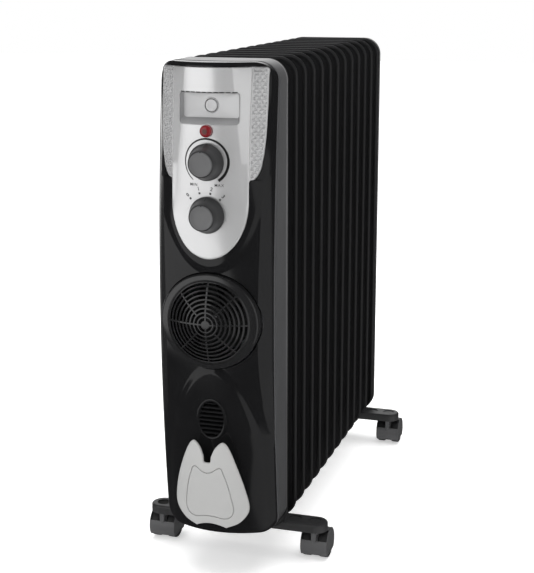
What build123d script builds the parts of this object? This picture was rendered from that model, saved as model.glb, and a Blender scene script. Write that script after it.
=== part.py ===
# Oil filled radiator heater with thirteen sections and a fan in its front housing.
# Millimetres. Z is up, X runs across the heater, and the front with the controls faces -Y.
# The origin is on the floor, under the middle of the whole heater.
from build123d import *
from math import cos, radians, sin, sqrt
import os

os.makedirs("parts", exist_ok=True)

# ---- driving dimensions ----
fin_count = 13
fin_pitch = 40.0
half_width = 73.0
fin_bottom = 44.0
body_top = 636.0
top_radius = 24.5
fin_bottom_radius = 26.5
sheet = 1.0
rim_depth = 5.0
rear_flange = 13.0
front_reach = 105.0  # from the plane of the first section to the faces of the knobs
total_depth = front_reach + (fin_count - 1) * fin_pitch + rear_flange
first_y = front_reach - total_depth / 2  # plane of the first section

# oil chambers of a section
header_low = 90.0
header_high = 588.0
header_radius = 28.0
header_depth = 20.0
column_spacing = 40.0
column_width = 22.0
column_depth = 13.0
stub_radius = 20.0
stub_wall = 0.8
element_stub = 12.8  # how far the first section's lower stub reaches forward

# housing in front of the sections
housing_bottom = 60.0
housing_bottom_radius = 20.0
housing_back = first_y - 3.0
housing_wall = 1.5
cover_half_width = 72.4
cover_wall = 2.6
cover_gap = 0.6
bow_middle = 325.0  # height at which the side edge of the housing reaches furthest forward
joint_crown = 57.5  # depth of the joint of band and front moulding at mid width
platform_rise = 2.5
panel_rise = 1.6

# front features, as heights and as depths in front of the first section
thermostat_z = 523.0
selector_z = 461.5
lamp_z = 558.5
grille_z = 334.5
grille_radius = 61.4
vent_z = 210.5
window_z = (566.0, 601.0)
window_half_width = 36.0
window_floor = first_y - 64.5
button_z = 586.0
button_radius = 7.2
chassis_front = first_y - element_stub - sheet

# feet and castors
foot_half_length = 120.0
foot_depth = 31.0
foot_bottom = 40.5
foot_top = 51.5
foot_gaps = (0, 11)  # the feet sit behind the first and the twelfth section
castor_x = 104.0
castor_trail = 10.0
castor_radius = 20.2
castor_centre_z = 19.0
castor_width = 35.0
wheel_radius = 18.4
wheel_width = 11.3
stem_radius = 3.5
running_gap = 0.05


def section_y(index):
    """Plane of a section, counted from 0 at the front."""
    return first_y + index * fin_pitch


def facing(y):
    """Plane at depth y that looks forward, with X across and Z up."""
    return Plane.XZ.offset(-y)


def finish(piece, name):
    """Label one piece and write it to its own file."""
    piece.part.label = name
    export_step(piece.part, f"parts/{name}.step")


def rounded_outline(width, bottom, top, bottom_radius, upper_radius):
    """Upright rounded rectangle, drawn into the sketch that is open."""
    with Locations((0, (bottom + top) / 2)):
        Rectangle(2 * width, top - bottom)
    fillet(vertices().group_by(Axis.Y)[0], bottom_radius)
    fillet(vertices().group_by(Axis.Y)[-1], upper_radius)


def dome_drop(radius, edge_radius, rise):
    """How far a round dome has dropped at a radius, from its crown to its edge."""
    sphere = (edge_radius**2 + rise**2) / (2 * rise)
    return sphere - sqrt(sphere**2 - radius**2)


# ---- sections ----
def oil_chamber(plane, inset):
    """Two header discs and two columns of a section, drawn in by inset for the hollow."""
    with BuildPart() as chamber:
        with BuildSketch(plane):
            with Locations((0, header_low), (0, header_high)):
                Circle(header_radius - inset)
        extrude(amount=header_depth / 2 - inset, both=True)
        with BuildSketch(plane):
            with Locations((0, (header_low + header_high) / 2)):
                with GridLocations(column_spacing, 1, 2, 1):
                    Rectangle(column_width - 2 * inset, header_high - header_low)
        extrude(amount=column_depth / 2 - inset, both=True)
    return chamber.part


def stub_ends(index, height):
    """Depths between which the header stubs of a section run at one height."""
    y = section_y(index)
    front = y - fin_pitch / 2
    back = y + fin_pitch / 2
    if index == 0:
        front = y - element_stub if height == header_low else y
    if index == fin_count - 1:
        back = y
    return front, back


def build_fin(index):
    y = section_y(index)
    back_reach = rear_flange if index == fin_count - 1 else rim_depth / 2
    with BuildPart() as fin:
        with BuildSketch(facing(y)):
            rounded_outline(half_width, fin_bottom, body_top, fin_bottom_radius, top_radius)
        extrude(amount=sheet / 2, both=True)
        with BuildSketch(facing(y - rim_depth / 2)):
            rounded_outline(half_width, fin_bottom, body_top, fin_bottom_radius, top_radius)
            offset(amount=-sheet, mode=Mode.SUBTRACT)
        extrude(amount=-(rim_depth / 2 + back_reach))
        add(oil_chamber(facing(y), 0))
        for height in (header_low, header_high):
            front, back = stub_ends(index, height)
            with BuildSketch(facing(front)):
                with Locations((0, height)):
                    Circle(stub_radius)
            extrude(amount=front - back)
        add(oil_chamber(facing(y), stub_wall), mode=Mode.SUBTRACT)
        for height in (header_low, header_high):
            front, back = stub_ends(index, height)
            with BuildSketch(facing(front)):
                with Locations((0, height)):
                    Circle(stub_radius - stub_wall)
            extrude(amount=front - back, mode=Mode.SUBTRACT)
    finish(fin, f"fin_{index + 1:02d}")


for number in range(fin_count):
    build_fin(number)

# filler plug on the upper header of the last section
plug_face = section_y(fin_count - 1) + header_depth / 2
with BuildPart() as oil_filler_plug:
    with BuildSketch(facing(plug_face)):
        with Locations((0, header_high)):
            RegularPolygon(radius=8, side_count=6)
    extrude(amount=-2.6)
finish(oil_filler_plug, "oil_filler_plug")

# heating element: flange, two hairpin tubes in the lower header, four terminals
flange_back = chassis_front
tube_radius = 4.0
hairpin_half = 8.0
tube_end = section_y(fin_count - 1) - 25
with BuildPart() as heating_element:
    with BuildSketch(facing(flange_back)):
        with Locations((0, header_low)):
            Circle(26)
    extrude(amount=4)
    for x in (-hairpin_half, hairpin_half):
        with BuildLine(Plane.YZ.offset(x)):
            Line((flange_back, header_low + hairpin_half), (tube_end, header_low + hairpin_half))
            ThreePointArc(
                (tube_end, header_low + hairpin_half),
                (tube_end + hairpin_half, header_low),
                (tube_end, header_low - hairpin_half),
            )
            Line((tube_end, header_low - hairpin_half), (flange_back, header_low - hairpin_half))
        with BuildSketch(Plane((x, flange_back, header_low + hairpin_half), z_dir=(0, 1, 0))):
            Circle(tube_radius)
        sweep()
    with BuildSketch(facing(flange_back - 4)):
        with Locations((0, header_low)):
            with GridLocations(2 * hairpin_half, 2 * hairpin_half, 2, 2):
                Circle(1.6)
    extrude(amount=9)
finish(heating_element, "heating_element")


# ---- housing ----
def edge_y(z):
    """Depth of the side edge where the front moulding meets the housing band."""
    return first_y - 55.5 + 20.0 * ((z - bow_middle) / 290.0) ** 2


strip_middle = 305.0  # height at which the side strips are widest
strip_end = 190.0  # height at which they have tapered away


def strip_half_width(z):
    """Half width of the crowned face between the two slanted side strips."""
    if z < strip_middle:
        return 57.5 + 12.0 * ((strip_middle - z) / 130.0) ** 2
    return min(68.0, 57.5 + 8.0 * ((z - strip_middle) / 270.0) ** 2)


def strip_depth(z):
    """How far the inner edge of a side strip stands in front of its outer edge."""
    if z < strip_middle:
        return max(3.0, 18.0 - 15.0 * ((strip_middle - z) / (strip_middle - strip_end)) ** 2)
    return 18.0 - 6.0 * ((z - strip_middle) / 290.0) ** 2


crown_stations = (
    (48.0, 64.0),
    (120.0, 71.5),
    (185.0, 73.5),
    (225.0, 74.5),
    (270.0, 75.5),
    (340.0, 76.5),
    (450.0, 77.5),
    (560.0, 77.5),
    (648.0, 75.0),
)


def front_block(rise, width):
    """Solid behind the crowned face, moved forward by rise at mid width, a fifth of it at the sides."""
    lift = rise if rise < 0 else 0.2 * rise
    with BuildPart() as block:
        for z, crown in crown_stations:
            side = edge_y(z) - lift
            strip = side - strip_depth(z)
            inner = min(strip_half_width(z), width - 1.4)
            with BuildSketch(Plane.XY.offset(z)):
                with BuildLine():
                    ThreePointArc((-inner, strip), (0, first_y - crown - rise), (inner, strip))
                    Polyline(
                        (inner, strip),
                        (width, side),
                        (width, first_y),
                        (-width, first_y),
                        (-width, side),
                        (-inner, strip),
                    )
                make_face()
        loft()
    return block.part


def band_block(shift):
    """Solid behind the curved joint of band and front moulding, moved back by shift."""
    wide = half_width + 7
    middle = first_y - joint_crown + shift
    with BuildPart() as block:
        for z, _ in crown_stations:
            side = edge_y(z) + shift
            with BuildSketch(Plane.XY.offset(z)):
                with BuildLine():
                    ThreePointArc((-half_width, side), (0, middle), (half_width, side))
                    Polyline(
                        (half_width, side),
                        (wide, side),
                        (wide, first_y + 5),
                        (-wide, first_y + 5),
                        (-wide, side),
                        (-half_width, side),
                    )
                make_face()
        loft()
    return block.part


post_spots = ((-65.5, 92), (65.5, 92), (-65.5, 604), (65.5, 604))
with BuildPart() as housing_shell:
    with BuildSketch(facing(housing_back)):
        rounded_outline(half_width, housing_bottom, body_top, housing_bottom_radius, top_radius)
        offset(amount=-housing_wall, mode=Mode.SUBTRACT)
    extrude(amount=85)
    with BuildSketch(facing(chassis_front)):
        with Locations(*post_spots):
            Circle(7.35)
    extrude(amount=16)
    with BuildSketch(facing(chassis_front)):
        rounded_outline(half_width, housing_bottom, body_top, housing_bottom_radius, top_radius)
    extrude(amount=85, mode=Mode.INTERSECT)
    with BuildSketch(facing(housing_back)):
        rounded_outline(half_width, housing_bottom, body_top, housing_bottom_radius, top_radius)
        offset(amount=-housing_wall, mode=Mode.SUBTRACT)
    extrude(amount=housing_back - chassis_front)
    with BuildSketch(facing(chassis_front)):
        with Locations(*post_spots):
            Circle(2.05)
    extrude(amount=12, mode=Mode.SUBTRACT)
    # hole for the cord gland in the underside
    with BuildSketch(Plane.XY.offset(housing_bottom - 1)):
        with Locations((-40, first_y - 26)):
            Circle(6.1)
    extrude(amount=housing_wall + 2, mode=Mode.SUBTRACT)
    add(band_block(0), mode=Mode.INTERSECT)
finish(housing_shell, "housing_shell")

with BuildPart() as chassis_plate:
    with BuildSketch(facing(chassis_front)):
        rounded_outline(70.5, housing_bottom + 3, body_top - 3, 17, 21.5)
        with Locations(*post_spots):
            Circle(2.1, mode=Mode.SUBTRACT)
        with Locations((0, header_low)):
            Circle(stub_radius - stub_wall, mode=Mode.SUBTRACT)
        with Locations((0, grille_z)):
            Circle(42, mode=Mode.SUBTRACT)
        # cooling slots behind the controls
        with Locations((0, 440)):
            with GridLocations(1, 9, 1, 4):
                SlotOverall(80, 4, mode=Mode.SUBTRACT)
    extrude(amount=-sheet)
finish(chassis_plate, "chassis_plate")

with BuildPart() as chassis_screws:
    with BuildSketch(facing(chassis_front + sheet)):
        with Locations(*post_spots):
            Circle(2.0)
    extrude(amount=sheet + 11)
    with BuildSketch(facing(chassis_front + sheet)):
        with Locations(*post_spots):
            Circle(4.0)
    extrude(amount=-2.2)
finish(chassis_screws, "chassis_screws")


# ---- front moulding ----
def tongue_outline(grow):
    """Raised field round the control panel, drawn into the sketch that is open."""
    with Locations((0, 520)):
        Ellipse(66 + grow, 128 + grow)
    with Locations((0, 580)):
        Rectangle(2 * (66 + grow), 120)


def arch_outline(grow):
    """Raised arched field round the vent and the cord plate."""
    with Locations((0, 110)):
        Ellipse(62 + grow, 165 + grow)
    with Locations((0, 80)):
        Rectangle(2 * (62 + grow), 60)


def panel_outline(grow):
    """Control panel: a tongue with a wing on each side of its upper half."""
    with Locations((0, 476)):
        Ellipse(47.6 + grow, 67 + grow)
    with Locations((0, 490)):
        Rectangle(2 * (47.6 + grow), 28)
    with BuildLine() as edge:
        right = Line((65 + grow, 628 + grow), (64.2 + grow, 590))
        tip = Spline(right @ 1, (61.5 + grow, 530), (49.5, 500 - grow), tangents=((-0.02, -1), (-1, -0.55)))
        across = Line(tip @ 1, (-49.5, 500 - grow))
        Spline(across @ 1, (-61.5 - grow, 530), (-64.2 - grow, 590), tangents=((-1, 0.55), (0.02, 1)))
        Polyline((-64.2 - grow, 590), (-65 - grow, 628 + grow), (65 + grow, 628 + grow))
    make_face(edge.edges())
    fillet(vertices().group_by(Axis.Y)[-1], 8 + grow)


def prism(outline, grow, front, back):
    """Straight block along Y with the outline, for cutting and intersecting."""
    with BuildPart() as block:
        with BuildSketch(facing(front)):
            outline(grow)
        extrude(amount=front - back)
    return block.part


front_plane = first_y - 130
base_face = front_block(0, cover_half_width)
raised_face = front_block(platform_rise, cover_half_width)
hollow_face = front_block(-cover_wall, cover_half_width - cover_wall)
joint_block = band_block(-cover_gap)
boss_face = first_y - 73.5

with BuildPart() as front_cover:
    with BuildSketch(facing(front_plane)):
        rounded_outline(cover_half_width, housing_bottom + 0.5, body_top - 0.5, 19.5, 24)
    extrude(amount=front_plane - first_y)
    add(base_face, mode=Mode.INTERSECT)
    for field in (tongue_outline, arch_outline):
        with BuildPart(mode=Mode.PRIVATE) as raised:
            add(prism(field, 0, front_plane, first_y - 30))
            with BuildSketch(facing(front_plane)):
                rounded_outline(cover_half_width, housing_bottom + 0.5, body_top - 0.5, 19.5, 24)
            extrude(amount=front_plane - first_y, mode=Mode.INTERSECT)
            add(raised_face, mode=Mode.INTERSECT)
        add(raised.part)
    with BuildPart(mode=Mode.PRIVATE) as hollow:
        with BuildSketch(facing(front_plane)):
            rounded_outline(
                cover_half_width - cover_wall,
                housing_bottom + 0.5 + cover_wall,
                body_top - 0.5 - cover_wall,
                18,
                22,
            )
        extrude(amount=front_plane - first_y)
        add(hollow_face, mode=Mode.INTERSECT)
    # round boss that carries the fan grille
    with BuildSketch(facing(boss_face)):
        with Locations((0, grille_z)):
            Circle(grille_radius)
    extrude(amount=-26)
    add(hollow.part, mode=Mode.SUBTRACT)
    with BuildSketch(facing(boss_face)):
        with Locations((0, grille_z)):
            Circle(grille_radius - 0.6)
            Circle(52, mode=Mode.SUBTRACT)
    extrude(amount=-8)
    with BuildSketch(facing(front_plane)):
        with Locations((0, grille_z)):
            Circle(grille_radius + 0.3)
    extrude(amount=front_plane - boss_face, mode=Mode.SUBTRACT)
    with BuildSketch(facing(front_plane)):
        with Locations((0, grille_z)):
            Circle(52)
    extrude(amount=front_plane - first_y, mode=Mode.SUBTRACT)
    # seat and openings of the control panel
    with BuildPart(mode=Mode.PRIVATE) as panel_seat:
        add(prism(panel_outline, 0.3, front_plane, first_y - 20))
        add(front_block(platform_rise - 1.4, cover_half_width + 4), mode=Mode.SUBTRACT)
    add(panel_seat.part, mode=Mode.SUBTRACT)
    with BuildSketch(facing(front_plane)):
        with Locations((0, sum(window_z) / 2)):
            Rectangle(2 * window_half_width + 4, window_z[1] - window_z[0] + 4)
        with Locations((0, thermostat_z), (0, selector_z)):
            Circle(5)
        with Locations((0, lamp_z)):
            Circle(7.35)
        with Locations((0, vent_z)):
            Ellipse(19.5, 26.5)
    extrude(amount=front_plane - first_y, mode=Mode.SUBTRACT)
    add(joint_block, mode=Mode.SUBTRACT)
finish(front_cover, "front_cover")

# silver panel with the recessed window of the fan button
with BuildPart() as control_panel:
    add(prism(panel_outline, 0, front_plane, first_y - 20))
    add(front_block(platform_rise + panel_rise, cover_half_width + 4), mode=Mode.INTERSECT)
    add(front_block(platform_rise - 1.4, cover_half_width + 4), mode=Mode.SUBTRACT)
    with BuildSketch(facing(window_floor + 1.6)):
        with Locations((0, sum(window_z) / 2)):
            Rectangle(2 * window_half_width + 3, window_z[1] - window_z[0] + 3)
    extrude(amount=14)
    with BuildSketch(facing(front_plane)):
        with Locations((0, sum(window_z) / 2)):
            Rectangle(2 * window_half_width, window_z[1] - window_z[0])
    extrude(amount=front_plane - window_floor, mode=Mode.SUBTRACT)
    with BuildSketch(facing(front_plane)):
        with Locations((0, button_z)):
            Circle(button_radius + 0.4)
        with Locations((0, thermostat_z), (0, selector_z)):
            Circle(5)
        with Locations((0, lamp_z)):
            Circle(7.35)
    extrude(amount=front_plane - first_y, mode=Mode.SUBTRACT)
finish(control_panel, "control_panel")

# ---- fan button, switch and lamp ----
button_travel = 2.0
with BuildPart() as fan_button:
    with BuildSketch(facing(window_floor - 0.6)):
        with Locations((0, button_z)):
            Circle(button_radius)
    extrude(amount=-4)
    fillet(edges().group_by(Axis.Y)[0], 0.5)
    with BuildSketch(facing(window_floor)):
        with Locations((0, button_z)):
            Circle(2.5)
    extrude(amount=-12)
finish(fan_button, "fan_button")

switch_front = window_floor + 7.5
with BuildPart() as fan_switch:
    with BuildSketch(facing(switch_front)):
        with Locations((0, button_z)):
            Rectangle(28, 22)
    extrude(amount=switch_front - chassis_front)
    with BuildSketch(facing(switch_front)):
        with Locations((0, button_z)):
            Circle(2.5 + running_gap)
    extrude(amount=-(12 - 7.5 + button_travel + 2), mode=Mode.SUBTRACT)
finish(fan_switch, "fan_switch")

lens_front = first_y - 88.5
lens_radius = 7.1
lens_rise = 3.6
with BuildPart() as indicator_lens:
    with BuildSketch(Plane.XY.offset(lamp_z)):
        with BuildLine():
            Polyline((0, lens_front), (0, lens_front + 16), (lens_radius, lens_front + 16))
            Line((lens_radius, lens_front + 16), (lens_radius, lens_front + lens_rise))
            ThreePointArc(
                (lens_radius, lens_front + lens_rise),
                (4.0, lens_front + dome_drop(4.0, lens_radius, lens_rise)),
                (0, lens_front),
            )
        make_face()
    revolve(axis=Axis((0, 0, lamp_z), (0, 1, 0)))
finish(indicator_lens, "indicator_lens")


# ---- knobs ----
knob_back = first_y - 84.6
knob_front = first_y - front_reach
shaft_radius = 3.0
control_front = first_y - 66
shaft_back = control_front + 14


def build_knob(name, height):
    """Tapered knob with a raised pointer on its rim, bored for the shaft."""
    with BuildPart() as knob:
        with BuildSketch(Plane.XY.offset(height)):
            with BuildLine():
                Polyline(
                    (0, knob_back),
                    (21.5, knob_back),
                    (21.5, knob_back - 1.6),
                    (15.4, knob_front + 2.0),
                    (13.6, knob_front + 0.2),
                    (0, knob_front + 0.6),
                    (0, knob_back),
                )
            make_face()
        revolve(axis=Axis((0, 0, height), (0, 1, 0)))
        # pointer
        with BuildSketch(facing(knob_front)):
            with Locations((0, height + 15.6)):
                Rectangle(2.4, 6.0)
        extrude(amount=-6)
        with BuildSketch(facing(knob_back)):
            with Locations((0, height)):
                Circle(shaft_radius + running_gap)
        extrude(amount=14, mode=Mode.SUBTRACT)
    finish(knob, name)


def build_shaft(name, height):
    with BuildPart() as shaft:
        with BuildSketch(facing(shaft_back)):
            with Locations((0, height)):
                Circle(shaft_radius)
        extrude(amount=shaft_back - knob_back + 13)
    finish(shaft, name)


def build_control(name, height, width, tall):
    """Body of a rotary control, carried by the chassis plate behind the panel."""
    with BuildPart() as control:
        with BuildSketch(facing(control_front)):
            with Locations((0, height)):
                Rectangle(width, tall)
        extrude(amount=control_front - chassis_front)
        with BuildSketch(facing(control_front)):
            with Locations((0, height)):
                Circle(shaft_radius + running_gap)
        extrude(amount=-(shaft_back - control_front + 1), mode=Mode.SUBTRACT)
        with BuildSketch(facing(control_front + 20)):
            with Locations((0, height)):
                Rectangle(width + 2, tall + 2)
                Rectangle(width - 8, tall - 8, mode=Mode.SUBTRACT)
        extrude(amount=-12, mode=Mode.SUBTRACT)
    finish(control, name)


build_knob("thermostat_knob", thermostat_z)
build_shaft("thermostat_shaft", thermostat_z)
build_control("thermostat_body", thermostat_z, 34, 30)
build_knob("selector_knob", selector_z)
build_shaft("selector_shaft", selector_z)
build_control("selector_switch", selector_z, 30, 36)

# ---- fan ----
dome_top = first_y - 96
dome_edge = first_y - 76
inner_top = dome_top + 2.4
slot_pitch = 5.0
slot_width = 2.8
with BuildPart() as fan_grille:
    with BuildSketch(Plane.XY.offset(grille_z)):
        with BuildLine():
            ThreePointArc(
                (0, dome_top),
                (32, dome_top + dome_drop(32, grille_radius, dome_edge - dome_top)),
                (grille_radius, dome_edge),
            )
            Polyline((grille_radius, dome_edge), (grille_radius, boss_face), (54, boss_face))
            ThreePointArc(
                (54, boss_face),
                (30, inner_top + dome_drop(30, 54, boss_face - inner_top)),
                (0, inner_top),
            )
            Line((0, inner_top), (0, dome_top))
        make_face()
    revolve(axis=Axis((0, 0, grille_z), (0, 1, 0)))
    with BuildSketch(facing(dome_top - 2)):
        with Locations((0, grille_z)):
            for ring in reversed(range(9)):
                middle = 7.0 + ring * slot_pitch
                Circle(middle + slot_width / 2)
                Circle(middle - slot_width / 2, mode=Mode.SUBTRACT)
            for spoke in range(4):
                Rectangle(110, 2.4, rotation=45 * spoke, mode=Mode.SUBTRACT)
            Circle(5.6 - slot_width / 2, mode=Mode.SUBTRACT)
    extrude(amount=-24, mode=Mode.SUBTRACT)
finish(fan_grille, "fan_grille")

shroud_front = boss_face + 9
shroud_back = first_y - 42
motor_radius = 17.0
motor_back = chassis_front - 1
with BuildPart() as fan_shroud:
    with BuildSketch(facing(shroud_front)):
        with Locations((0, grille_z)):
            Circle(50)
            Circle(48, mode=Mode.SUBTRACT)
    extrude(amount=shroud_front - shroud_back)
    with BuildSketch(facing(shroud_back)):
        with Locations((0, grille_z)):
            Circle(motor_radius + 3)
            Rectangle(98, 6)
            Rectangle(6, 98)
            Circle(4, mode=Mode.SUBTRACT)
    extrude(amount=2)
    # four legs that stand on the chassis plate
    with BuildSketch(facing(shroud_back)):
        with Locations((0, grille_z)):
            with PolarLocations(49, 4, start_angle=45):
                Circle(4)
    extrude(amount=shroud_back - chassis_front)
finish(fan_shroud, "fan_shroud")

fan_shaft_radius = 2.5
motor_front = shroud_back
with BuildPart() as fan_motor:
    with BuildSketch(facing(motor_front)):
        with Locations((0, grille_z)):
            Circle(motor_radius)
    extrude(amount=motor_front - motor_back)
    with BuildSketch(facing(motor_front)):
        with Locations((0, grille_z)):
            Circle(fan_shaft_radius + running_gap)
    extrude(amount=-16, mode=Mode.SUBTRACT)
finish(fan_motor, "fan_motor")

impeller_middle = first_y - 54
blade_count = 7
with BuildPart() as fan_impeller:
    with BuildSketch(facing(impeller_middle - 8)):
        with Locations((0, grille_z)):
            Circle(13)
            Circle(fan_shaft_radius + 0.02, mode=Mode.SUBTRACT)
    extrude(amount=-16)
    for blade in range(blade_count):
        turn = radians(360 / blade_count * blade)
        outward = Vector(cos(turn), 0, sin(turn))
        along = Vector(-sin(turn) * 0.82, 0.57, cos(turn) * 0.82)
        root = Vector(0, impeller_middle, grille_z) + outward * 12
        with BuildSketch(Plane(root, x_dir=along, z_dir=outward)):
            Rectangle(24, 1.6)
        extrude(amount=31)
finish(fan_impeller, "fan_impeller")

with BuildPart() as fan_shaft:
    with BuildSketch(facing(impeller_middle - 9)):
        with Locations((0, grille_z)):
            Circle(fan_shaft_radius)
    extrude(amount=impeller_middle - 9 - motor_front - 14)
finish(fan_shaft, "fan_shaft")

# ---- vent, cord plate and gland ----
with BuildPart() as vent_louvre:
    with BuildSketch(facing(first_y - 78.6)):
        with Locations((0, vent_z)):
            Ellipse(19.2, 26.2)
    extrude(amount=-7)
    with BuildSketch(facing(first_y - 78.6)):
        with Locations((0, vent_z)):
            with GridLocations(1, 5.6, 1, 8):
                SlotOverall(40, 2.8)
            Ellipse(15.4, 22.4, mode=Mode.INTERSECT)
    extrude(amount=-7, mode=Mode.SUBTRACT)
finish(vent_louvre, "vent_louvre")


def cord_plate_outline():
    """Plate with two rounded lobes above, a narrow slot between them and a bow cut below."""
    with BuildLine() as edge:
        Spline(
            (19, 74),
            (36, 82),
            (46.5, 99),
            (43, 128),
            (35, 156),
            (26, 178),
            (18.5, 186),
            (10, 180),
            (4.2, 168),
        )
        Polyline((4.2, 168), (4.2, 160), (-4.2, 160), (-4.2, 168))
        Spline(
            (-4.2, 168),
            (-10, 180),
            (-18.5, 186),
            (-26, 178),
            (-35, 156),
            (-43, 128),
            (-46.5, 99),
            (-36, 82),
            (-19, 74),
        )
        ThreePointArc((-19, 74), (0, 80), (19, 74))
    make_face(edge.edges())


plate_front = first_y - 98
plate_plan_radius = 88.0
plate_side_radius = 341.0
plate_wall = 3.0
plate_middle = 160.0
with BuildPart() as cord_wrap_plate:
    with BuildSketch(Plane.XY.offset(plate_middle)):
        with Locations((0, plate_front + plate_plan_radius)):
            Circle(plate_plan_radius)
            Circle(plate_plan_radius - plate_wall, mode=Mode.SUBTRACT)
        with Locations((0, plate_front + 20)):
            Rectangle(110, 60, mode=Mode.INTERSECT)
    revolve(
        axis=Axis((0, plate_front + plate_side_radius, plate_middle), (1, 0, 0)),
        revolution_arc=-18,
    )
    mirror(about=Plane.XY.offset(plate_middle))
    with BuildSketch(facing(front_plane)):
        cord_plate_outline()
    extrude(amount=front_plane - first_y, mode=Mode.INTERSECT)
    # stand-off that carries the plate on the moulding
    with BuildSketch(facing(plate_front + 6)):
        with Locations((0, 125)):
            Ellipse(22, 18)
    extrude(amount=-30)
    add(raised_face, mode=Mode.SUBTRACT)
finish(cord_wrap_plate, "cord_wrap_plate")

with BuildPart() as cord_gland:
    with BuildSketch(Plane.XY.offset(housing_bottom - 3)):
        with Locations((-40, first_y - 26)):
            Circle(8)
    extrude(amount=3)
    with BuildSketch(Plane.XY.offset(housing_bottom)):
        with Locations((-40, first_y - 26)):
            Circle(6)
    extrude(amount=10)
    with BuildSketch(Plane.XY.offset(housing_bottom - 3)):
        with Locations((-40, first_y - 26)):
            Circle(3.4)
    extrude(amount=13, mode=Mode.SUBTRACT)
finish(cord_gland, "cord_gland")

# ---- electrical parts on the chassis plate ----
with BuildPart() as thermal_cutout:
    with BuildSketch(facing(chassis_front)):
        with Locations((38, 160)):
            Circle(8)
    extrude(amount=7)
    with BuildSketch(facing(chassis_front - 7)):
        with Locations((38, 160)):
            with GridLocations(9, 1, 2, 1):
                Rectangle(1, 6)
    extrude(amount=8)
finish(thermal_cutout, "thermal_cutout")

with BuildPart() as terminal_block:
    with BuildSketch(facing(chassis_front)):
        with Locations((-38, 150)):
            Rectangle(14, 44)
    extrude(amount=16)
    with BuildSketch(facing(chassis_front - 16)):
        with Locations((-38, 150)):
            with GridLocations(1, 11, 1, 4):
                Circle(2.4)
    extrude(amount=-9, mode=Mode.SUBTRACT)
finish(terminal_block, "terminal_block")

# ---- feet ----
bolt_x = 23.5
bolt_radius = 3.0
foot_names = ("front_foot_bar", "rear_foot_bar")
for foot_name, gap in zip(foot_names, foot_gaps):
    foot_y = section_y(gap) + fin_pitch / 2
    with BuildPart() as foot:
        with BuildSketch(Plane.XY.offset(foot_bottom)):
            with Locations((0, foot_y)):
                SlotOverall(2 * foot_half_length, foot_depth)
        extrude(amount=foot_top - foot_bottom)
        fillet(edges().group_by(Axis.Z)[-1], 2.5)
        # saddle that carries the lower header
        with BuildSketch(Plane.XY.offset(foot_top - 1)):
            with Locations((0, foot_y)):
                Rectangle(39, 18)
        extrude(amount=28)
        with BuildSketch(facing(foot_y - 15)):
            with Locations((0, header_low)):
                Circle(stub_radius + 0.1)
        extrude(amount=-30, mode=Mode.SUBTRACT)
        # hollow underside
        with BuildSketch(Plane.XY.offset(foot_bottom)):
            with Locations((0, foot_y)):
                SlotOverall(2 * foot_half_length - 6, foot_depth - 6)
                with GridLocations(2 * castor_x, 1, 2, 1):
                    Circle(8, mode=Mode.SUBTRACT)
                with GridLocations(2 * bolt_x, 1, 2, 1):
                    Rectangle(16, 30, mode=Mode.SUBTRACT)
                with GridLocations(2 * 76, 1, 2, 1):
                    Rectangle(2.4, 30, mode=Mode.SUBTRACT)
        extrude(amount=6.5, mode=Mode.SUBTRACT)
        # round recesses in the top, over the castors and beside the sections
        with BuildSketch(Plane.XY.offset(foot_top - 1.2)):
            with Locations((0, foot_y)):
                with GridLocations(2 * castor_x, 1, 2, 1):
                    Circle(8.5)
                with GridLocations(2 * 77, 1, 2, 1):
                    Circle(9)
        extrude(amount=2, mode=Mode.SUBTRACT)
        with BuildSketch(Plane.XY.offset(foot_bottom)):
            with Locations((0, foot_y)):
                with GridLocations(2 * castor_x, 1, 2, 1):
                    Circle(stem_radius + running_gap)
        extrude(amount=8, mode=Mode.SUBTRACT)
        with BuildSketch(Plane.XY.offset(foot_bottom)):
            with Locations((0, foot_y)):
                with GridLocations(2 * bolt_x, 1, 2, 1):
                    Circle(bolt_radius + 0.2)
        extrude(amount=40, mode=Mode.SUBTRACT)
    finish(foot, foot_name)

bolt_foot = foot_bottom - 9
with BuildPart() as u_bolts:
    for gap in foot_gaps:
        foot_y = section_y(gap) + fin_pitch / 2
        with BuildLine(facing(foot_y)):
            Line((-bolt_x, bolt_foot), (-bolt_x, header_low))
            ThreePointArc((-bolt_x, header_low), (0, header_low + bolt_x), (bolt_x, header_low))
            Line((bolt_x, header_low), (bolt_x, bolt_foot))
        with BuildSketch(Plane.XY.offset(bolt_foot)):
            with Locations((-bolt_x, foot_y)):
                Circle(bolt_radius)
        sweep()
finish(u_bolts, "u_bolts")

with BuildPart() as wing_nuts:
    for gap in foot_gaps:
        foot_y = section_y(gap) + fin_pitch / 2
        with BuildSketch(Plane.XY.offset(foot_bottom - 7)):
            with Locations((-bolt_x, foot_y), (bolt_x, foot_y)):
                Circle(5.5)
                Rectangle(22, 3)
        extrude(amount=7)
        with BuildSketch(Plane.XY.offset(foot_bottom - 7)):
            with Locations((-bolt_x, foot_y), (bolt_x, foot_y)):
                Circle(bolt_radius + running_gap)
        extrude(amount=7, mode=Mode.SUBTRACT)
finish(wing_nuts, "wing_nuts")


# ---- castors ----
axle_radius = 3.0
web_half = 4.8
hood_floor = 7.0
hood_wall = 1.0
window_floor = castor_centre_z + 8.2
stem_bottom = 24.0


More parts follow.
